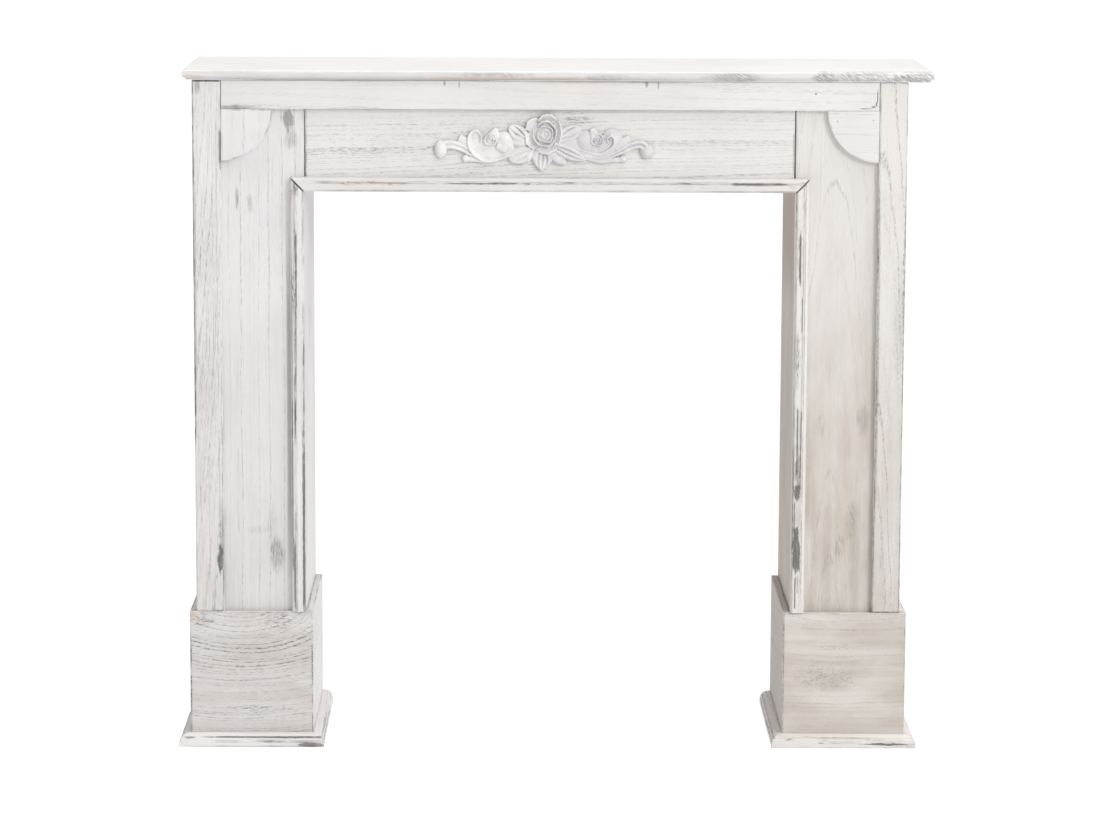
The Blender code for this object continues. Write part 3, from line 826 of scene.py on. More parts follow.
OPENING_LOOKS = {
    "opening_moulding_top": board_grain(
        "XZY", "frieze", 41.0, heart=(0.7, 0.0), lines=0.2, pores=0.3, streaks=0.4,
        edge=0.9, rim=0.45,
        marks=(
            ("haze", 0, 833, 600, 30, 0.06),
            ("scuff", -273, 836.6, 75, 3.2, 0.95),
            ("line", -240, 837, 34, 0.8, 0.8),
            ("bare", -270, 837.4, 66, 1.5, 0.75),
            ("line", -106, 836.6, 56, 0.9, 0.85),
            ("scuff", -70, 836.4, 130, 2.4, 0.9),
            ("smudge", 150, 836.6, 120, 1.8, 0.35),
            ("wear", 294, 836.6, 55, 2.6, 0.75),
            ("line", 300, 837, 40, 1, 0.8),
            ("bare", 313, 837.6, 14, 1.6, 0.6),
            ("bare", 348, 833, 8, 3, 0.5),
        ),
    ),
    "opening_moulding_left": board_grain(
        "ZXY", "cool", 43.0, heart=(-0.7, 0.0), lines=0.2, pores=0.3, streaks=0.5,
        edge=1.0, rim=0.55,
        marks=(
            ("scuff", -375.2, 826.4, 6, 14, 0.9),
            ("bare", -381.5, 819.1, 3, 12, 0.5),
            ("line", -374.5, 705, 1.2, 66, 0.92),
            ("scuff", -377.5, 685, 5, 60, 0.7),
            ("line", -374.8, 600, 0.7, 60, 0.65),
            ("line", -381.2, 600, 1, 160, 0.5),
            ("line", -381.3, 490, 0.9, 34, 0.75),
            ("line", -377, 488, 1.2, 32, 0.8),
            ("line", -381.2, 370, 1.3, 130, 0.7),
            ("line", -378.5, 258, 1.7, 55, 0.75),
            ("line", -365, 326, 2.2, 158, 0.92),
        ),
    ),
    "opening_moulding_right": board_grain(
        "ZXY", "warm", 46.0, heart=(0.7, 0.0), lines=0.2, pores=0.3, streaks=0.6,
        edge=0.9, rim=0.45,
        marks=(
            ("smudge", 360, 345, 6.2, 32, 0.35),
            ("line", 356.2, 345, 0.8, 28, 0.85),
            ("wear", 359.6, 295, 7.2, 43, 0.97),
            ("tint", 361.2, 298, 3.6, 18, 0.13),
            ("line", 358.5, 232, 1.3, 28, 0.85),
            ("line", 361.8, 245, 0.9, 16, 0.7),
            ("wear", 360.3, 383, 6, 14, 0.95),
            ("smudge", 361, 412, 6.8, 36, 0.85),
            ("line", 358.8, 460, 1.3, 56, 0.85),
            ("line", 364, 455, 1, 56, 0.7),
            ("smudge", 361.2, 465, 5, 60, 0.35),
            ("scuff", 358, 575, 4, 50, 0.8),
            ("line", 363.5, 645, 1, 32, 0.7),
            ("line", 359.7, 730, 1.7, 46, 0.92),
            ("scuff", 359, 735, 4, 60, 0.6),
        ),
    ),
}


class MANTEL_OT_opening_moulding(bpy.types.Operator):
    """Make the three mitred mouldings round the opening"""

    bl_idname = "mantel.opening_moulding"
    bl_label = "Make opening moulding"

    def execute(self, context):
        wear = context.scene.mantel_wear
        tree = moulding_tree()
        low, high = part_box("opening_moulding_left")
        width, depth = high.x - low.x, high.y - low.y
        inner_left, foot, face = high.x, low.z, high.y
        inner_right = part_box("opening_moulding_right")[0].x
        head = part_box("opening_moulding_top")[0].z
        ring = profile_ring("opening_profile", *opening_profile(width, depth))
        runs = (
            ("top", (inner_left, face, head), (inner_right, face, head), (0, 0, 1), (1, 1)),
            ("left", (inner_left, face, foot), (inner_left, face, head), (-1, 0, 0), (0, 1)),
            ("right", (inner_right, face, foot), (inner_right, face, head), (1, 0, 0), (0, 1)),
        )
        for place, *run in runs:
            node = "opening_moulding_" + place
            lay_run(
                tree, node, ring, run, (0, -1, 0), wear.mitre_gap, wear.step / 2,
                OPENING_LOOKS[node],
            )
        bpy.data.objects.remove(ring, do_unlink=True)
        return {"FINISHED"}


FOOT_MARKS = {
    "left_foot_moulding_front": (
        ("line", -426, 14.3, 87, 1.1, 0.85),
        ("scuff", -390, 14, 25, 2.5, 0.7),
        ("smudge", -535, 13.5, 10, 2.2, 0.7),
        ("wear", -355, 3.5, 23, 4.2, 0.9),
        ("bare", -344, 4, 8, 3, 0.45),
        ("line", -443, 0.5, 105, 0.8, 0.6),
    ),
    "right_foot_moulding_front": (
        ("wear", 496, 6.2, 40, 2.1, 0.95),
        ("scuff", 354, 12, 9, 1.8, 0.8),
        ("scuff", 406, 12, 7, 1.4, 0.7),
        ("scuff", 400, 7.8, 9, 1.2, 0.6),
    ),
}


class MANTEL_OT_foot_moulding(bpy.types.Operator):
    """Make the mitred mouldings on the floor round both plinths"""

    bl_idname = "mantel.foot_moulding"
    bl_label = "Make foot moulding"

    def execute(self, context):
        wear = context.scene.mantel_wear
        tree = moulding_tree()
        low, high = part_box("left_foot_moulding_front")
        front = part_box("left_plinth_front")[0].y
        reach, height = front - low.y, high.z
        ring = profile_ring("foot_profile", *foot_profile(reach, height, wear.foot_gap))
        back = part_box("left_foot_moulding_inner_side")[1].y
        seed = 51.0
        for label, side in SIDES:
            wash = "cool" if side < 0 else "warm"
            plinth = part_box(label + "_plinth_front")
            inner, outer = (plinth[1].x, plinth[0].x) if side < 0 else (plinth[0].x, plinth[1].x)
            runs = (
                ("front", (inner, front, 0), (outer, front, 0), (0, -1, 0), (1, 1), "XZY"),
                ("inner_side", (inner, front, 0), (inner, back, 0), (-side, 0, 0), (1, 0), "YZX"),
                ("outer_side", (outer, front, 0), (outer, back, 0), (side, 0, 0), (1, 0), "YZX"),
            )
            for place, *run, axes in runs:
                node = f"{label}_foot_moulding_{place}"
                look = board_grain(
                    axes, wash, seed, pores=0.15, streaks=0.25, edge=0.7 if side < 0 else 0.5,
                    rim=0.6 if side < 0 else 0.35, marks=FOOT_MARKS.get(node, ()),
                )
                lay_run(tree, node, ring, run, (0, 0, 1), wear.foot_gap, wear.step, look)
                seed += 1.3
        bpy.data.objects.remove(ring, do_unlink=True)
        return {"FINISHED"}


# Shelf

def shelf_profile(thick, drop):
    """Inset and height of the nose from the underside up, each with its distance to an arris.
    Further rings lead in over the flat top and underside."""
    inset, fillet, nose, top = 0.0052, 0.0024, 0.0060, 0.0025
    line = [(0.05, 0, 0.045), (0.012, 0, 0.007), (inset + 0.0005, 0, 0), (inset, 0.0005, 0.0)]
    line += [(inset, fillet, 0.002)]
    high = thick - nose
    for i, (a, b) in enumerate(arc((inset, high), (inset, high - fillet - 0.0004), -90, -180, 10)):
        line.append((a, b, 0.0035 * abs(i - 3) / 7))
    line += [(0, high + (nose - top) * k, 0.002) for k in (0.35, 0.7)]
    for i, (a, b) in enumerate(arc((top, thick - top), (top, top), 180, 90, 6)):
        line.append((a, b, 0.0015 * abs(i - 4) / 4))
    line += [(inset, thick, inset - 0.002) for inset in (0.004, 0.008)]
    line += [(0.02, thick, 0.018), (0.05, thick, 0.045)]
    return [(a, b + drop, d) for a, b, d in line]


def shelf_mesh(low, high, profile, step):
    """Rings of points round the left end, the front and the right end, closed along the back."""
    deep, wide = round((high.y - low.y) / step), round((high.x - low.x) / step)
    rings = []
    for inset, height, distance in profile:
        left, right, front = low.x + inset, high.x - inset, low.y + inset
        spots = ((left, high.y), (left, front), (right, front), (right, high.y))
        corners = [Vector(spot) for spot in spots]
        ring = []
        for one, two, count in zip(corners, corners[1:], (deep, wide, deep)):
            ring += [one.lerp(two, k / count) for k in range(count)]
        rings.append([(*spot, height, distance) for spot in (*ring, corners[-1])])
    return mesh_of_rings("worn_shelf_board", rings)


class MANTEL_OT_shelf(bpy.types.Operator):
    """Make the shelf board with its moulded nose"""

    bl_idname = "mantel.shelf"
    bl_label = "Make shelf"

    def execute(self, context):
        wear = context.scene.mantel_wear
        low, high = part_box("shelf_board")
        profile = shelf_profile(high.z - low.z, low.z)
        piece = new_object("worn_shelf_board", shelf_mesh(low, high, profile, wear.step))
        look = board_grain(
            "XYZ", "shelf", 61.0, heart=(0.3, 0.0), depth=0.2, ring=0.02, lines=0.10, pores=0.10,
            fibre=0.3, streaks=0.1, edge=0.30, rim=0.14, bands=0.0, fade=0.0,
            marks=(
                # Painted shade: a grey haze over the front of the nose, darker than the top
                ("haze", -120, 989, 640, 12.5, 0.3),
                ("scored", -85, 994.5, 75, 5, 0.5),
                ("haze", -200, 987.4, 420, 1.6, 0.2),
                ("strip", -530, 990, 30, 4, 0.45),
                ("strip", -70, 989.2, 140, 3, 0.5),
                ("bare", 0, 988.6, 200, 3, 0.25),
                ("scored", 75, 991.5, 45, 7, 0.4),
                ("scored", 262, 992, 55, 10, 0.6),
                ("haze", 330, 990.5, 150, 10, 0.16),
                ("scored", 392, 992, 22, 12, 0.7),
                ("scored", 465, 991.5, 100, 12.5, 0.62),
                ("scored", 530, 991.5, 45, 13, 0.68),
                ("line", -260, 986.1, 200, 0.6, 0.6),
            ),
        )
        piece.data.materials.append(whitewash("wash_shelf_board", **look))
        finish_piece(piece, "shelf_board", 35)
        return {"FINISHED"}


# Corner brackets

# Steps along the curve
BRACKET_STEPS = 44


def bracket_mesh(name, low, high, side):
    """A quarter disc in the corner of stile and rail, its front arris eased in three steps."""
    corner = Vector((high.x if side > 0 else low.x, high.z))
    radius = high.z - low.z
    levels = (
        (high.y, 0.0), (low.y + 0.0012, 0.0), (low.y + 0.0005, 0.0002), (low.y + 0.0001, 0.0006),
        (low.y, 0.0012), (low.y, 0.003), (low.y, 0.006),
    )
    rings = []
    for y, inset in levels:
        reach = radius - inset
        low_turn = math.asin(inset / reach)
        ring = [Vector((corner.x - side * inset, corner.y - inset))]
        for i in range(BRACKET_STEPS + 1):
            turn = low_turn + (math.pi / 2 - 2 * low_turn) * i / BRACKET_STEPS
            ring.append(corner - Vector((side * math.cos(turn), math.sin(turn))) * reach)
        distance = inset if y < low.y + 0.001 else y - low.y
        rings.append([(spot.x, y, spot.y, distance) for spot in ring])
    return mesh_of_rings(name, rings)


BRACKET_LOOKS = {
    "left": board_grain(
        "ZXY", "cool", 71.0, heart=(-0.3, 0.9), depth=0.3, tilt=0.0, ring=0.012, lines=0.3,
        pores=0.25, edge=0.8, marks=(("haze", -450, 910, 200, 200, 0.045),),
    ),
    "right": board_grain(
        "XZY", "frieze", 73.0, heart=(0.7, 0.4), depth=0.3, tilt=0.0, ring=0.010, lines=0.35,
        pores=0.30, edge=0.6,
        marks=(
            ("nail", 411, 928.5, 1.4, 1.2, 0.8),
            ("nail", 463.2, 930.1, 1.4, 1.2, 0.8),
        ),
    ),
}


class MANTEL_OT_brackets(bpy.types.Operator):
    """Make the two quarter-round corner brackets"""

    bl_idname = "mantel.brackets"
    bl_label = "Make brackets"

    def execute(self, context):
        for label, side in SIDES:
            node = label + "_corner_bracket"
            low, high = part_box(node)
            look = BRACKET_LOOKS[label]
            piece = new_object("worn_" + node, bracket_mesh(node, low, high, side))
            piece.data.materials.append(whitewash("wash_" + node, **look))
            finish_piece(piece, node, 50)
        return {"FINISHED"}


# Carved rose, drawn in millimetres from its middle: x to the right, y up, z off the frieze

# Its middle's x and z and its unit, in metres, and how far its forms are sunk behind its back
CARVING_MIDDLE = (-0.01365, 0.8971)
CARVING_UNIT = 0.001
CARVING_SINK = 2
# Sections of bands: place across from -1 to 1, and share of the band's height
LOBE = [(-1, 0.50), (-0.92, 0.72), (-0.7, 0.90), (-0.35, 0.99), (0, 1), (0.35, 0.99), (0.7, 0.90)]
LOBE += [(0.92, 0.72), (1, 0.50)]
FLAT = [(-1, 0.75), (-0.9, 1), (0.9, 1), (1, 0.75)]
GROOVED = [(-1, 0.4), (-0.8, 0.9), (-0.45, 1), (-0.1, 0.68), (0.1, 0.68), (0.45, 1), (0.8, 0.9)]
GROOVED += [(1, 0.4)]
CUPPED = [(-1, 0.66), (-0.9, 0.97), (-0.72, 1), (-0.5, 0.88), (0, 0.6), (0.6, 0.46), (1, 0.42)]
LIPPED = [(-1, 0.44), (-0.3, 0.50), (0.25, 0.76), (0.58, 1), (0.86, 1), (1, 0.74)]


def smooth_line(points, steps):
    """A Catmull-Rom curve through the points: position, unit tangent and place on the way, where
    1 is the second point, 2 the third and so on."""
    count = len(points)
    held = [points[0], *points, points[-1]]
    line = []
    for i in range(steps + 1):
        place = (count - 1) * i / steps
        part = min(int(place), count - 2)
        t = place - part
        p0, p1, p2, p3 = (Vector(held[part + k]) for k in range(4))
        a, b, c = p2 - p0, 2 * p0 - 5 * p1 + 4 * p2 - p3, 3 * p1 - p0 - 3 * p2 + p3
        spot = p1 + (a * t + b * t**2 + c * t**3) / 2
        line.append((spot, (a + 2 * b * t + 3 * c * t**2).normalized(), place))
    return line


def rounded(section, steps=18):
    return [(spot.x, spot.y) for spot, _, _ in smooth_line(section, steps)]


def at(values, place):
    """A value read between the entries of a short list."""
    low = min(int(place), len(values) - 2)
    return values[low] + (values[low + 1] - values[low]) * (place - low)


def loft(shape, rings):
    skin(shape, [[shape.verts.new(point) for point in ring] for ring in rings])


def sunk(ring):
    """A ring closed under the frieze's face: both its ends are carried down."""
    (last_x, last_y, _), (first_x, first_y, _) = ring[-1], ring[0]
    return [*ring, (last_x, last_y, -CARVING_SINK), (first_x, first_y, -CARVING_SINK)]


def crosswise(spot, way, width, height, section):
    """A section laid square to a line's way."""
    square = Vector((-way.y, way.x))
    edge = [spot + square * width * t for t, _ in section]
    return sunk([(p.x, p.y, height * k) for p, (_, k) in zip(edge, section)])


def band(shape, points, half_widths, heights, section, steps, ripple=0.0):
    """A raised band along a smooth line, its section scaled by half width and height."""
    rings = []
    for spot, way, place in smooth_line(points, steps):
        width = at(half_widths, place) * (1 + ripple * math.sin(place * 3.1 + spot.x))
        rings.append(crosswise(spot, way, width, at(heights, place), section))
    loft(shape, rings)


def dome(shape, centre, radii, height, around=36, up=12):
    """A rounded knob: half an ellipsoid on a short skirt."""
    rings = []
    for level in range(-1, up):
        lift = math.radians(90 * max(level, 0) / (up - 0.5))
        z = height * math.sin(lift) if level >= 0 else -CARVING_SINK
        ring = []
        for i in range(around):
            turn = 2 * math.pi * i / around
            x = centre[0] + radii[0] * math.cos(lift) * math.cos(turn)
            y = centre[1] + radii[1] * math.cos(lift) * math.sin(turn)
            ring.append((x, y, z))
        rings.append(ring)
    loft(shape, rings)


def lobe(shape, line, half, height, steps=22):
    """One rounded lobe of a leaf: it rises out of its base, widens and ends in a blunt tip."""
    section = rounded(LOBE)
    rings = []
    for i, (spot, way, _) in enumerate(smooth_line(line, steps)):
        share = i / steps
        tip = max(0.0, (share - 0.62) / 0.38)
        width = half * (0.60 + 0.40 * math.sin(math.pi / 2 * min(1, share / 0.6)))
        width *= math.sqrt(1.02 - tip**2)
        lift = height * (0.96 + 0.10 * math.sin(math.pi * share)) * math.sqrt(1.0 - 0.62 * tip**2)
        rings.append(crosswise(spot, way, width, lift, section))
    loft(shape, rings)


def leaf_fold(creases, v, share):
    """How deep a leaf's face is folded at v across it, at a share of its length."""
    fold = 0.0
    for place, deep in creases:
        near = abs(v - place * (0.45 + 0.75 * share))
        sharp, soft = math.exp(-((near / 0.10) ** 2)), math.exp(-((near / 0.28) ** 2))
        fold += deep * sharp + 0.12 * soft
    return fold * (1 - share**5)


def leaf(shape, base, tip, half, point, creases, height):
    """A broad leaf, its end round where point is 0 and sharp where it is 1, its face folded in
    narrow creases that fan out from its base. A crease is its place across and its depth."""
    base, reach = Vector(base), Vector(tip) - Vector(base)
    length, way = reach.length, reach.normalized()
    square = Vector((-way.y, way.x))
    count, steps = 44, 28
    rings = []
    for i in range(steps + 1):
        share = i / steps
        end = max(0.0, (share - 0.45) / 0.55)
        width = half * (0.60 + 0.40 * math.sin(math.pi / 2 * min(1, share / 0.45)))
        width *= math.sqrt(1.01 - end**2) * (1 - point) + (1.02 - end**1.5) * point
        rise = height * (1 + 0.08 * math.sin(math.pi * share)) * (1 - 0.30 * end**3)
        ring = []
        for k in range(count + 1):
            v = 2 * k / count - 1
            spot = base + way * (length * share) + square * (width * v)
            fold = leaf_fold(creases, v, share)
            ring.append((spot.x, spot.y, rise * (1 - fold - 0.40 * v**6)))
        rings.append(sunk(ring))
    loft(shape, rings)


def petal(shape, centre, radius, half_width, start, end, height):
    """A petal that wraps round the flower's middle, its outer lip rolled up and a little wavy."""
    angles = [math.radians(start + (end - start) * i / 4) for i in range(5)]
    points = [(centre[0] + radius * math.cos(t), centre[1] + radius * math.sin(t)) for t in angles]
    widths = [half_width * k for k in (0.50, 0.95, 1.02, 0.95, 0.50)]
    heights = [height * k for k in (0.82, 0.97, 1, 0.97, 0.82)]
    section = [(-t, k) for t, k in reversed(LIPPED)]
    band(shape, points, widths, heights, rounded(section), 22, 0.05)


# Petals of the rose from the outside in, each laid clockwise: its line, half width and height
PETALS = (
    ([(-24, 16), (-19, 26.5), (-9, 31.5)], 6.2, 9.5),
    ([(-7, 28), (-1, 34), (8, 34.5), (16, 29.5)], 5.6, 11.5),
    ([(18, 30), (20.5, 13), (17.5, -6)], 6.2, 10.5),
    ([(17, -8), (3, -12), (-9, -11)], 6.2, 12),
    ([(-13, -10), (-21.5, 0), (-25, 11)], 5.4, 11),
    ([(-2, -5), (-9, 0), (-14, 8), (-14, 18)], 3.2, 12.2),
    ([(-9, 21), (-3, 26.5), (5, 27.5), (11, 23)], 3.6, 12.4),
    ([(9, 25), (14.5, 17), (14, 5)], 3.6, 12.6),
    ([(13, 3), (7, -3), (-2, -4)], 3.6, 12.8),
    ([(0, 2.5), (-7, 6), (-8.5, 15)], 2.8, 13.6),
    ([(11, 9), (7, 2), (-1, 2.5)], 2.8, 13.8),
    ([(-8, 15), (-3, 20.5), (4, 20.5)], 2.8, 13.8),
    ([(3, 21), (9, 17.5), (10.5, 9)], 2.8, 14.2),
)


def rose(shape):
    """The middle rose: a low core, broad outer petals and a tight heart."""
    dome(shape, (-1, 11), (22, 21), 8.6)
    for line, half, height in PETALS:
        count = len(line)
        widths = [half * (0.62 if i in (0, count - 1) else 1.05) for i in range(count)]
        heights = [height * (0.84 if i in (0, count - 1) else 1.0) for i in range(count)]
        band(shape, line, widths, heights, rounded(LIPPED), 26, 0.06)
    dome(shape, (1, 11), (14, 14), 12.7)
    for start, end in ((20, 135), (140, 255), (260, 375)):
        petal(shape, (1.5, 11.5), 4.4, 2.0, start, end, 15.4)
    dome(shape, (1.5, 11.5), (2.2, 2.2), 15.6, 16, 6)


def bud(shape, centre, bulb, bulb_radii, side):
    """A half-open bud: its smooth bulb, wrapped petals round an eye and one broad pointed petal."""
    dome(shape, bulb, bulb_radii, 10.5)
    dome(shape, centre, (9.4, 9.8), 8.6)
    for turn in (20, 140, 260):
        petal(shape, centre, 7.0, 2.6, turn, turn + 112, 11.2)
    for turn in (80, 260):
        petal(shape, centre, 3.2, 1.4, turn, turn + 150, 12.0)
    dome(shape, centre, (1.5, 1.5), 11.6, 16, 6)
    tip = (centre[0] - side * 8, centre[1] + 16.5)
    hip = (centre[0] - side * 5, centre[1] + 7)
    root = (centre[0] - side * 2, centre[1] + 1)
    band(shape, [root, hip, tip], [8.5, 8.5, 2.6], [8.5, 9.8, 6.6], rounded(LOBE), 16)


# The two scrolls: lines, half widths and heights of the curl and of the long stem, and the middle
# and the radii of the knob that ends each of them
SCROLLS = {
    -1: {
        "curl": (
            [(-95, -2), (-94, 7), (-100, 13.5), (-106.5, 7), (-106, -6), (-96, -18), (-77, -24),
             (-36, -10)],
            [2.6, 3.6, 4.4, 4.6, 5.2, 6.6, 6.4, 4.2],
            [8, 9.5, 10.5, 10, 9, 8.5, 8, 6],
        ),
        "curl_knob": ((-100.5, 8), (6, 6.5)),
        "stem": (
            [(-150, -7), (-136, -4.5), (-120, -9), (-106, -17), (-88, -25)],
            [6.5, 6.5, 6, 4.5, 2.5],
            [7.5, 7, 6.5, 6, 5],
        ),
        "stem_knob": ((-150.5, -11.5), (9.6, 13.2)),
    },
    1: {
        "curl": (
            [(91.5, -3), (88.5, 6), (96, 13.5), (105, 8), (105, -5), (96, -16), (77, -22.5),
             (36, -10)],
            [3, 4.2, 5.6, 6.2, 5.8, 6.6, 6.4, 4.2],
            [8, 10, 11.5, 11, 9, 8.5, 8, 6],
        ),
        "curl_knob": ((97.5, 8.5), (8, 8)),
        "stem": (
            [(147, -9), (139, -3.5), (124, -7), (110, -14.5), (90, -23.5)],
            [7, 6, 5.6, 4.5, 2.5],
            [8.5, 7.5, 7, 6, 5],
        ),
        "stem_knob": ((149.2, -14), (10.6, 10.8)),
    },
}


def side_scroll(shape, side, parts):
    """The C-shaped scroll with the low ground inside it, the two short stubs and the long stem."""
    band(shape, *parts["curl"], rounded(CUPPED[::-side], 24), 90)
    dome(shape, *parts["curl_knob"], 7)
    ground = [(side * 105, 2), (side * 92, -8), (side * 74, -12), (side * 45, -6)]
    band(shape, ground, [6, 12, 14, 12], [4.5, 5, 5.5, 6], FLAT, 24)
    stub = [(side * 103, -10), (side * 113, -1), (side * 124, 5)]
    band(shape, stub, [4.5, 6, 5.2], [6, 6, 5], rounded(LOBE), 16)
    ball = (side * 114.5, -25)
    foot = [ball, (side * 97, -27), (side * 79, -28.5), (side * 36, -17)]
    band(shape, foot, [4, 3.2, 3, 2], [5, 5, 5, 4], rounded(LOBE), 40)
    dome(shape, ball, (5.8, 5.8), 7)
    band(shape, *parts["stem"], rounded(GROOVED, 28), 50)
    dome(shape, *parts["stem_knob"], 10.5)


# Leaves: base, tip, half width, how pointed, creases and height
LEAVES = (
    ((-27, 4), (-51, 22), 11.0, 0.20, ((0.32, 0.46), (-0.50, 0.46)), 8.4),
    ((-22, 1), (-49, 3), 9.4, 0.15, ((-0.30, 0.26),), 6.8),
    ((-19, -14), (-51, -26), 12.5, 0.15, ((0.50, 0.16), (-0.30, 0.14)), 8.4),
    ((-2, -10), (-4, -42), 14.5, 0.75, ((-0.55, 0.26), (0.05, 0.40), (0.55, 0.34)), 8.0),
    ((13, -6), (60, -27), 9.6, 0.60, ((-0.42, 0.36), (0.40, 0.30)), 8.4),
    ((22, 5), (53, 20), 11.5, 0.15, ((0.55, 0.38), (-0.45, 0.18)), 7.8),
    ((22, -3), (52, -1), 9.0, 0.0, (), 6.2),
)
# Loose lobes beside the leaves: line, half width and height
LOBES = (
    ([(-17, -12), (-22, -20), (-25, -30)], 4.6, 7.8),
    ([(11, -12), (16, -23), (32, -31.5)], 6.2, 8.0),
    ([(-69, -5), (-61, -9), (-53, -11)], 6.4, 10.4),
)


def carving_forms():
    """Every form of the ornament in one mesh, each a closed shell."""
    shape = bmesh.new()
    for centre, radii in (((0, -4), (42, 24)), ((-36, -2), (17, 18)), ((38, -3), (20, 18))):
        dome(shape, centre, radii, 4.6)
    rose(shape)
    for values in LEAVES:
        leaf(shape, *values)
    for line, half, height in LOBES:
        lobe(shape, line, half, height)
    bud(shape, (-78, 3), (-58.5, 0), (13.5, 15.5), -1)
    bud(shape, (77, 3), (59.5, 1), (14.5, 16), 1)
    for side, parts in SCROLLS.items():
        side_scroll(shape, side, parts)
    return shape


def settled(piece, kind, **settings):
    """The piece's mesh after one modifier."""
    modifier = piece.modifiers.new("settle", kind)
    for name, value in settings.items():
        setattr(modifier, name, value)
    graph = bpy.context.evaluated_depsgraph_get()
    mesh = bpy.data.meshes.new_from_object(piece.evaluated_get(graph))
    piece.modifiers.remove(modifier)
    return mesh


def mark_hollows(piece):
    """Stores how far each point lies under a smoothed copy: more than 0 in a hollow, less on a
    ridge."""
    calm = settled(piece, "SMOOTH", factor=0.5, iterations=30)
    held = piece.data.attributes.new("hollow", "FLOAT", "POINT")
    for vert, other, value in zip(piece.data.vertices, calm.vertices, held.data):
        value.value = (other.co - vert.co).dot(vert.normal)
    bpy.data.meshes.remove(calm)


def cut_back(mesh, back):
    """Takes off what lies behind the plane y = back and closes the mesh there."""
    shape = bmesh.new()
    shape.from_mesh(mesh)
    parts = [*shape.verts, *shape.edges, *shape.faces]
    cut = bmesh.ops.bisect_plane(
        shape, geom=parts, plane_co=(0, back, 0), plane_no=(0, 1, 0), clear_outer=True
    )
    rim = [part for part in cut["geom_cut"] if isinstance(part, bmesh.types.BMEdge)]
    bmesh.ops.triangle_fill(shape, edges=rim, use_beauty=True)
    shape.to_mesh(mesh)
    shape.free()


def carving_paint(back):
    """Matt off-white paint, rubbed bright on the ridges, with grime and painted shade in the
    hollows and along its foot.
    """
    colours = bpy.context.scene.mantel_colours
    material, tree, shader = new_material("carving_paint")
    place = add(tree, "ShaderNodeTexCoord", output="Object")
    hollow = add(tree, "ShaderNodeAttribute", output="Fac", attribute_name="hollow")
    cloud = place.noise(60.0, 3.0)
    light = (cloud + place.part("X").step(0.03, -0.12) * 0.30).step(0.44, 0.86)
    base = blend(light, tuple(colours.carving), tuple(colours.frieze))
    base = blend(hollow.step(-0.0001, -0.0006) * 0.55, base, tuple(colours.shelf))
    rise = back - place.part("Y")
    # Grime and painted shade in the hollows, and painted shade with some grime along the foot where
    # the carving meets the frieze
    dirt_and_shade = hollow.step(0.00002, 0.0006) * 0.62 + rise.step(0.0030, 0.0004) * 0.8
    dirt_and_shade = dirt_and_shade.least(1.0) * (1 - rise.step(0.0085, 0.0120) * 0.5)
    dirt_and_shade = dirt_and_shade * (place.noise(300.0, 3.0).step(0.25, 0.6) * 0.4 + 0.6)
    colour = blend(dirt_and_shade * 0.70, base, tuple(colours.grain))
    plug(tree, colour, shader.inputs["Base Color"])
    shader.inputs["Roughness"].default_value = 0.62
    shader.inputs["Specular IOR Level"].default_value = 0.3
    sockets = {"Strength": 0.35, "Distance": 0.0004, "Height": place.noise(500.0, 3.0)}
    plug(tree, add(tree, "ShaderNodeBump", sockets), shader.inputs["Normal"])
    return material


class MANTEL_OT_carving(bpy.types.Operator):
    """Make the carved rose with its leaves, buds and scrolls"""

    bl_idname = "mantel.carving"
    bl_label = "Make carving"

    def execute(self, context):
        wear = context.scene.mantel_wear
        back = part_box("carved_ornament")[1].y
        shape = carving_forms()
        for vert in shape.verts:
            x, y, z = vert.co * CARVING_UNIT
            vert.co = (CARVING_MIDDLE[0] + x, back - z, CARVING_MIDDLE[1] + y)
        bmesh.ops.recalc_face_normals(shape, faces=shape.faces)
        mesh = bpy.data.meshes.new("carving_forms")
        shape.to_mesh(mesh)
        shape.free()
        piece = new_object("carved_rose", mesh)
        piece.data = settled(piece, "REMESH", mode="VOXEL", voxel_size=wear.voxel, adaptivity=0.0)
        piece.data = settled(piece, "SMOOTH", factor=0.5, iterations=2)
        mark_hollows(piece)
        cut_back(piece.data, back)
        piece.data.materials.clear()
        piece.data.materials.append(carving_paint(back))
        finish_piece(piece, "carved_ornament", 80)
        return {"FINISHED"}


# Studio

CAMERA_PLACE = (-0.04945, -5.87795, 1.4081)
CAMERA_PITCH = 8.9749
CAMERA_YAW = 0.4547
CAMERA_ROLL = -0.2489
CAMERA_LENS = 129.88
KEY_PLACE = (2.50, -3.85, 2.75)
KEY_AIM = (0.0, -0.1, 0.6)
KEY_SIZE = 1.6
DOME_TOP = (0.28, -0.14, 0.95)
FLOOR_REACH = 60
FLOOR_CORNERS = ((-1, -1), (1, -1), (1, 1), (-1, 1))


def camera_matrix():
    pitch, yaw, roll = (math.radians(a) for a in (CAMERA_PITCH, CAMERA_YAW, CAMERA_ROLL))
    ahead = Vector(
        (math.sin(yaw) * math.cos(pitch), math.cos(yaw) * math.cos(pitch), -math.sin(pitch))
    )
    right = Vector((math.cos(yaw), -math.sin(yaw), 0))
    down = ahead.cross(right)
    tilted = right * math.cos(roll) + down * math.sin(roll)
    down = down * math.cos(roll) - right * math.sin(roll)
    turn = Matrix((tilted, -down, -ahead)).transposed().to_4x4()
    return Matrix.Translation(CAMERA_PLACE) @ turn


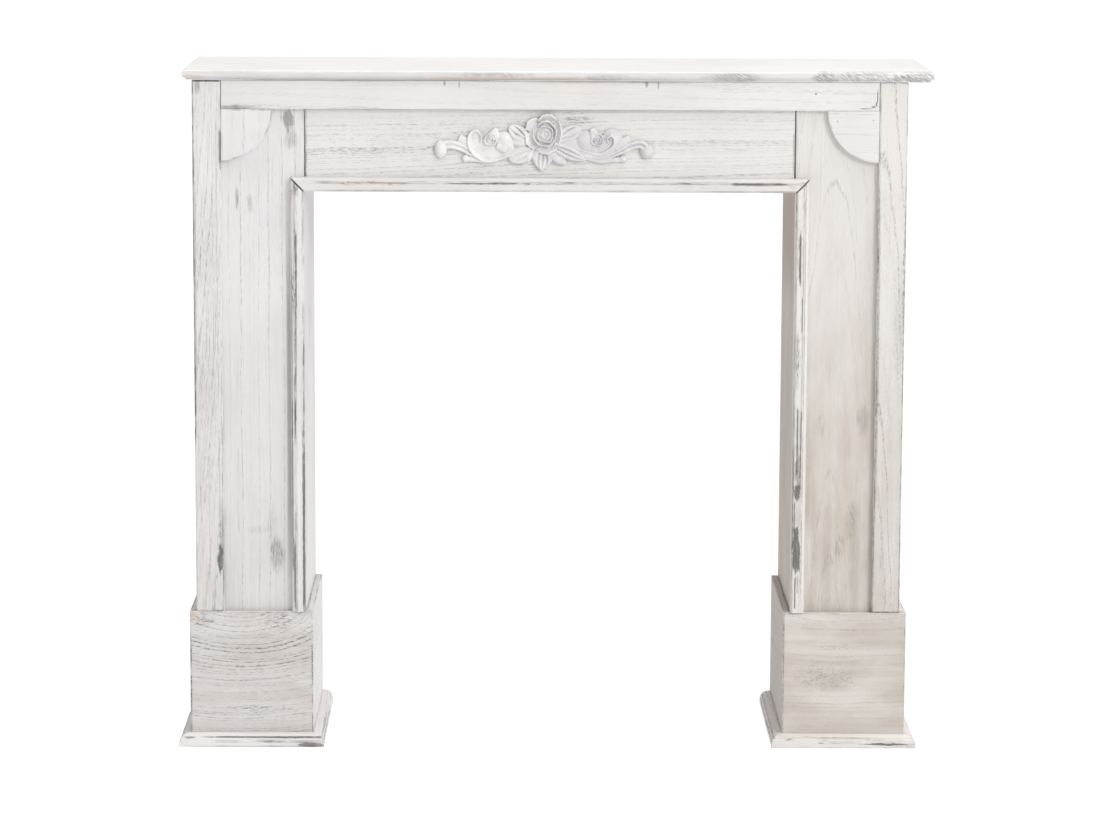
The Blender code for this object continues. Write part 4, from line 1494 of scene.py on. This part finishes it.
class MANTEL_OT_studio(bpy.types.Operator):
    """Set up the floor, the lights and the camera"""

    bl_idname = "mantel.studio"
    bl_label = "Make studio"

    def execute(self, context):
        scene = context.scene
        studio = scene.mantel_studio
        scene.view_settings.view_transform = "Standard"
        camera = bpy.data.cameras.new("camera")
        camera.lens = CAMERA_LENS
        camera.sensor_width = 36
        camera.clip_end = 200
        scene.camera = new_object("camera", camera)
        scene.camera.matrix_world = camera_matrix()

        floor = bpy.data.meshes.new("floor")
        corners = [(x * FLOOR_REACH, y * FLOOR_REACH, 0) for x, y in FLOOR_CORNERS]
        floor.from_pydata(corners, [], [(0, 1, 2, 3)])
        surface, _, shader = new_material("floor")
        shader.inputs["Base Color"].default_value = (*studio.floor, 1)
        shader.inputs["Roughness"].default_value = 0.9
        shader.inputs["Specular IOR Level"].default_value = 0.0
        shader.inputs["Emission Color"].default_value = (1, 1, 1, 1)
        shader.inputs["Emission Strength"].default_value = studio.glow
        floor.materials.append(surface)
        ground = new_object("floor", floor)

        lamp = bpy.data.lights.new("key", "AREA")
        lamp.energy = studio.key
        lamp.shape = "DISK"
        lamp.size = KEY_SIZE
        lamp.color = (0.975, 0.985, 1.0)
        key = new_object("key", lamp)
        key.location = KEY_PLACE
        aim = Vector(KEY_AIM) - Vector(KEY_PLACE)
        key.rotation_euler = aim.to_track_quat("-Z", "Y").to_euler()

        world = bpy.data.worlds.new("room")
        scene.world = world
        world.use_nodes = True
        tree = world.node_tree
        sky = tree.nodes["Background"]
        sky.inputs["Color"].default_value = (1.0, 0.975, 0.95, 1)
        way = add(tree, "ShaderNodeTexCoord", output="Generated")
        sockets = {0: way, 1: DOME_TOP}
        height = add(tree, "ShaderNodeVectorMath", sockets, "Value", operation="DOT_PRODUCT")
        above = height.most(0.0)
        plug(tree, above * above * studio.dome + studio.fill, sky.inputs["Strength"])
        return {"FINISHED"}


OPERATORS = (
    MANTEL_OT_shelf,
    MANTEL_OT_boards,
    MANTEL_OT_brackets,
    MANTEL_OT_opening_moulding,
    MANTEL_OT_foot_moulding,
    MANTEL_OT_carving,
    MANTEL_OT_studio,
)


class MANTEL_PT_sidebar(bpy.types.Panel):
    """Lists the mantelpiece's settings and the steps that make it"""

    bl_idname = "MANTEL_PT_sidebar"
    bl_label = "Mantelpiece"
    bl_space_type = "VIEW_3D"
    bl_region_type = "UI"
    bl_category = "Mantelpiece"

    def draw(self, context):
        for group in (
            context.scene.mantel_wear,
            context.scene.mantel_colours,
            context.scene.mantel_studio,
        ):
            box = self.layout.box()
            for name in group.__annotations__:
                box.prop(group, name)
        for operator in OPERATORS:
            self.layout.operator(operator.bl_idname)


CLASSES = (MantelWear, MantelColours, MantelStudio, *OPERATORS, MANTEL_PT_sidebar)


def register():
    for made in CLASSES:
        bpy.utils.register_class(made)
    bpy.types.Scene.mantel_wear = bpy.props.PointerProperty(type=MantelWear)
    bpy.types.Scene.mantel_colours = bpy.props.PointerProperty(type=MantelColours)
    bpy.types.Scene.mantel_studio = bpy.props.PointerProperty(type=MantelStudio)


def unregister():
    del bpy.types.Scene.mantel_studio
    del bpy.types.Scene.mantel_colours
    del bpy.types.Scene.mantel_wear
    for made in reversed(CLASSES):
        bpy.utils.unregister_class(made)


def main():
    register()
    bpy.ops.mantel.shelf()
    bpy.ops.mantel.boards()
    bpy.ops.mantel.brackets()
    bpy.ops.mantel.opening_moulding()
    bpy.ops.mantel.foot_moulding()
    bpy.ops.mantel.carving()
    bpy.ops.mantel.studio()


if __name__ == "__main__":
    main()
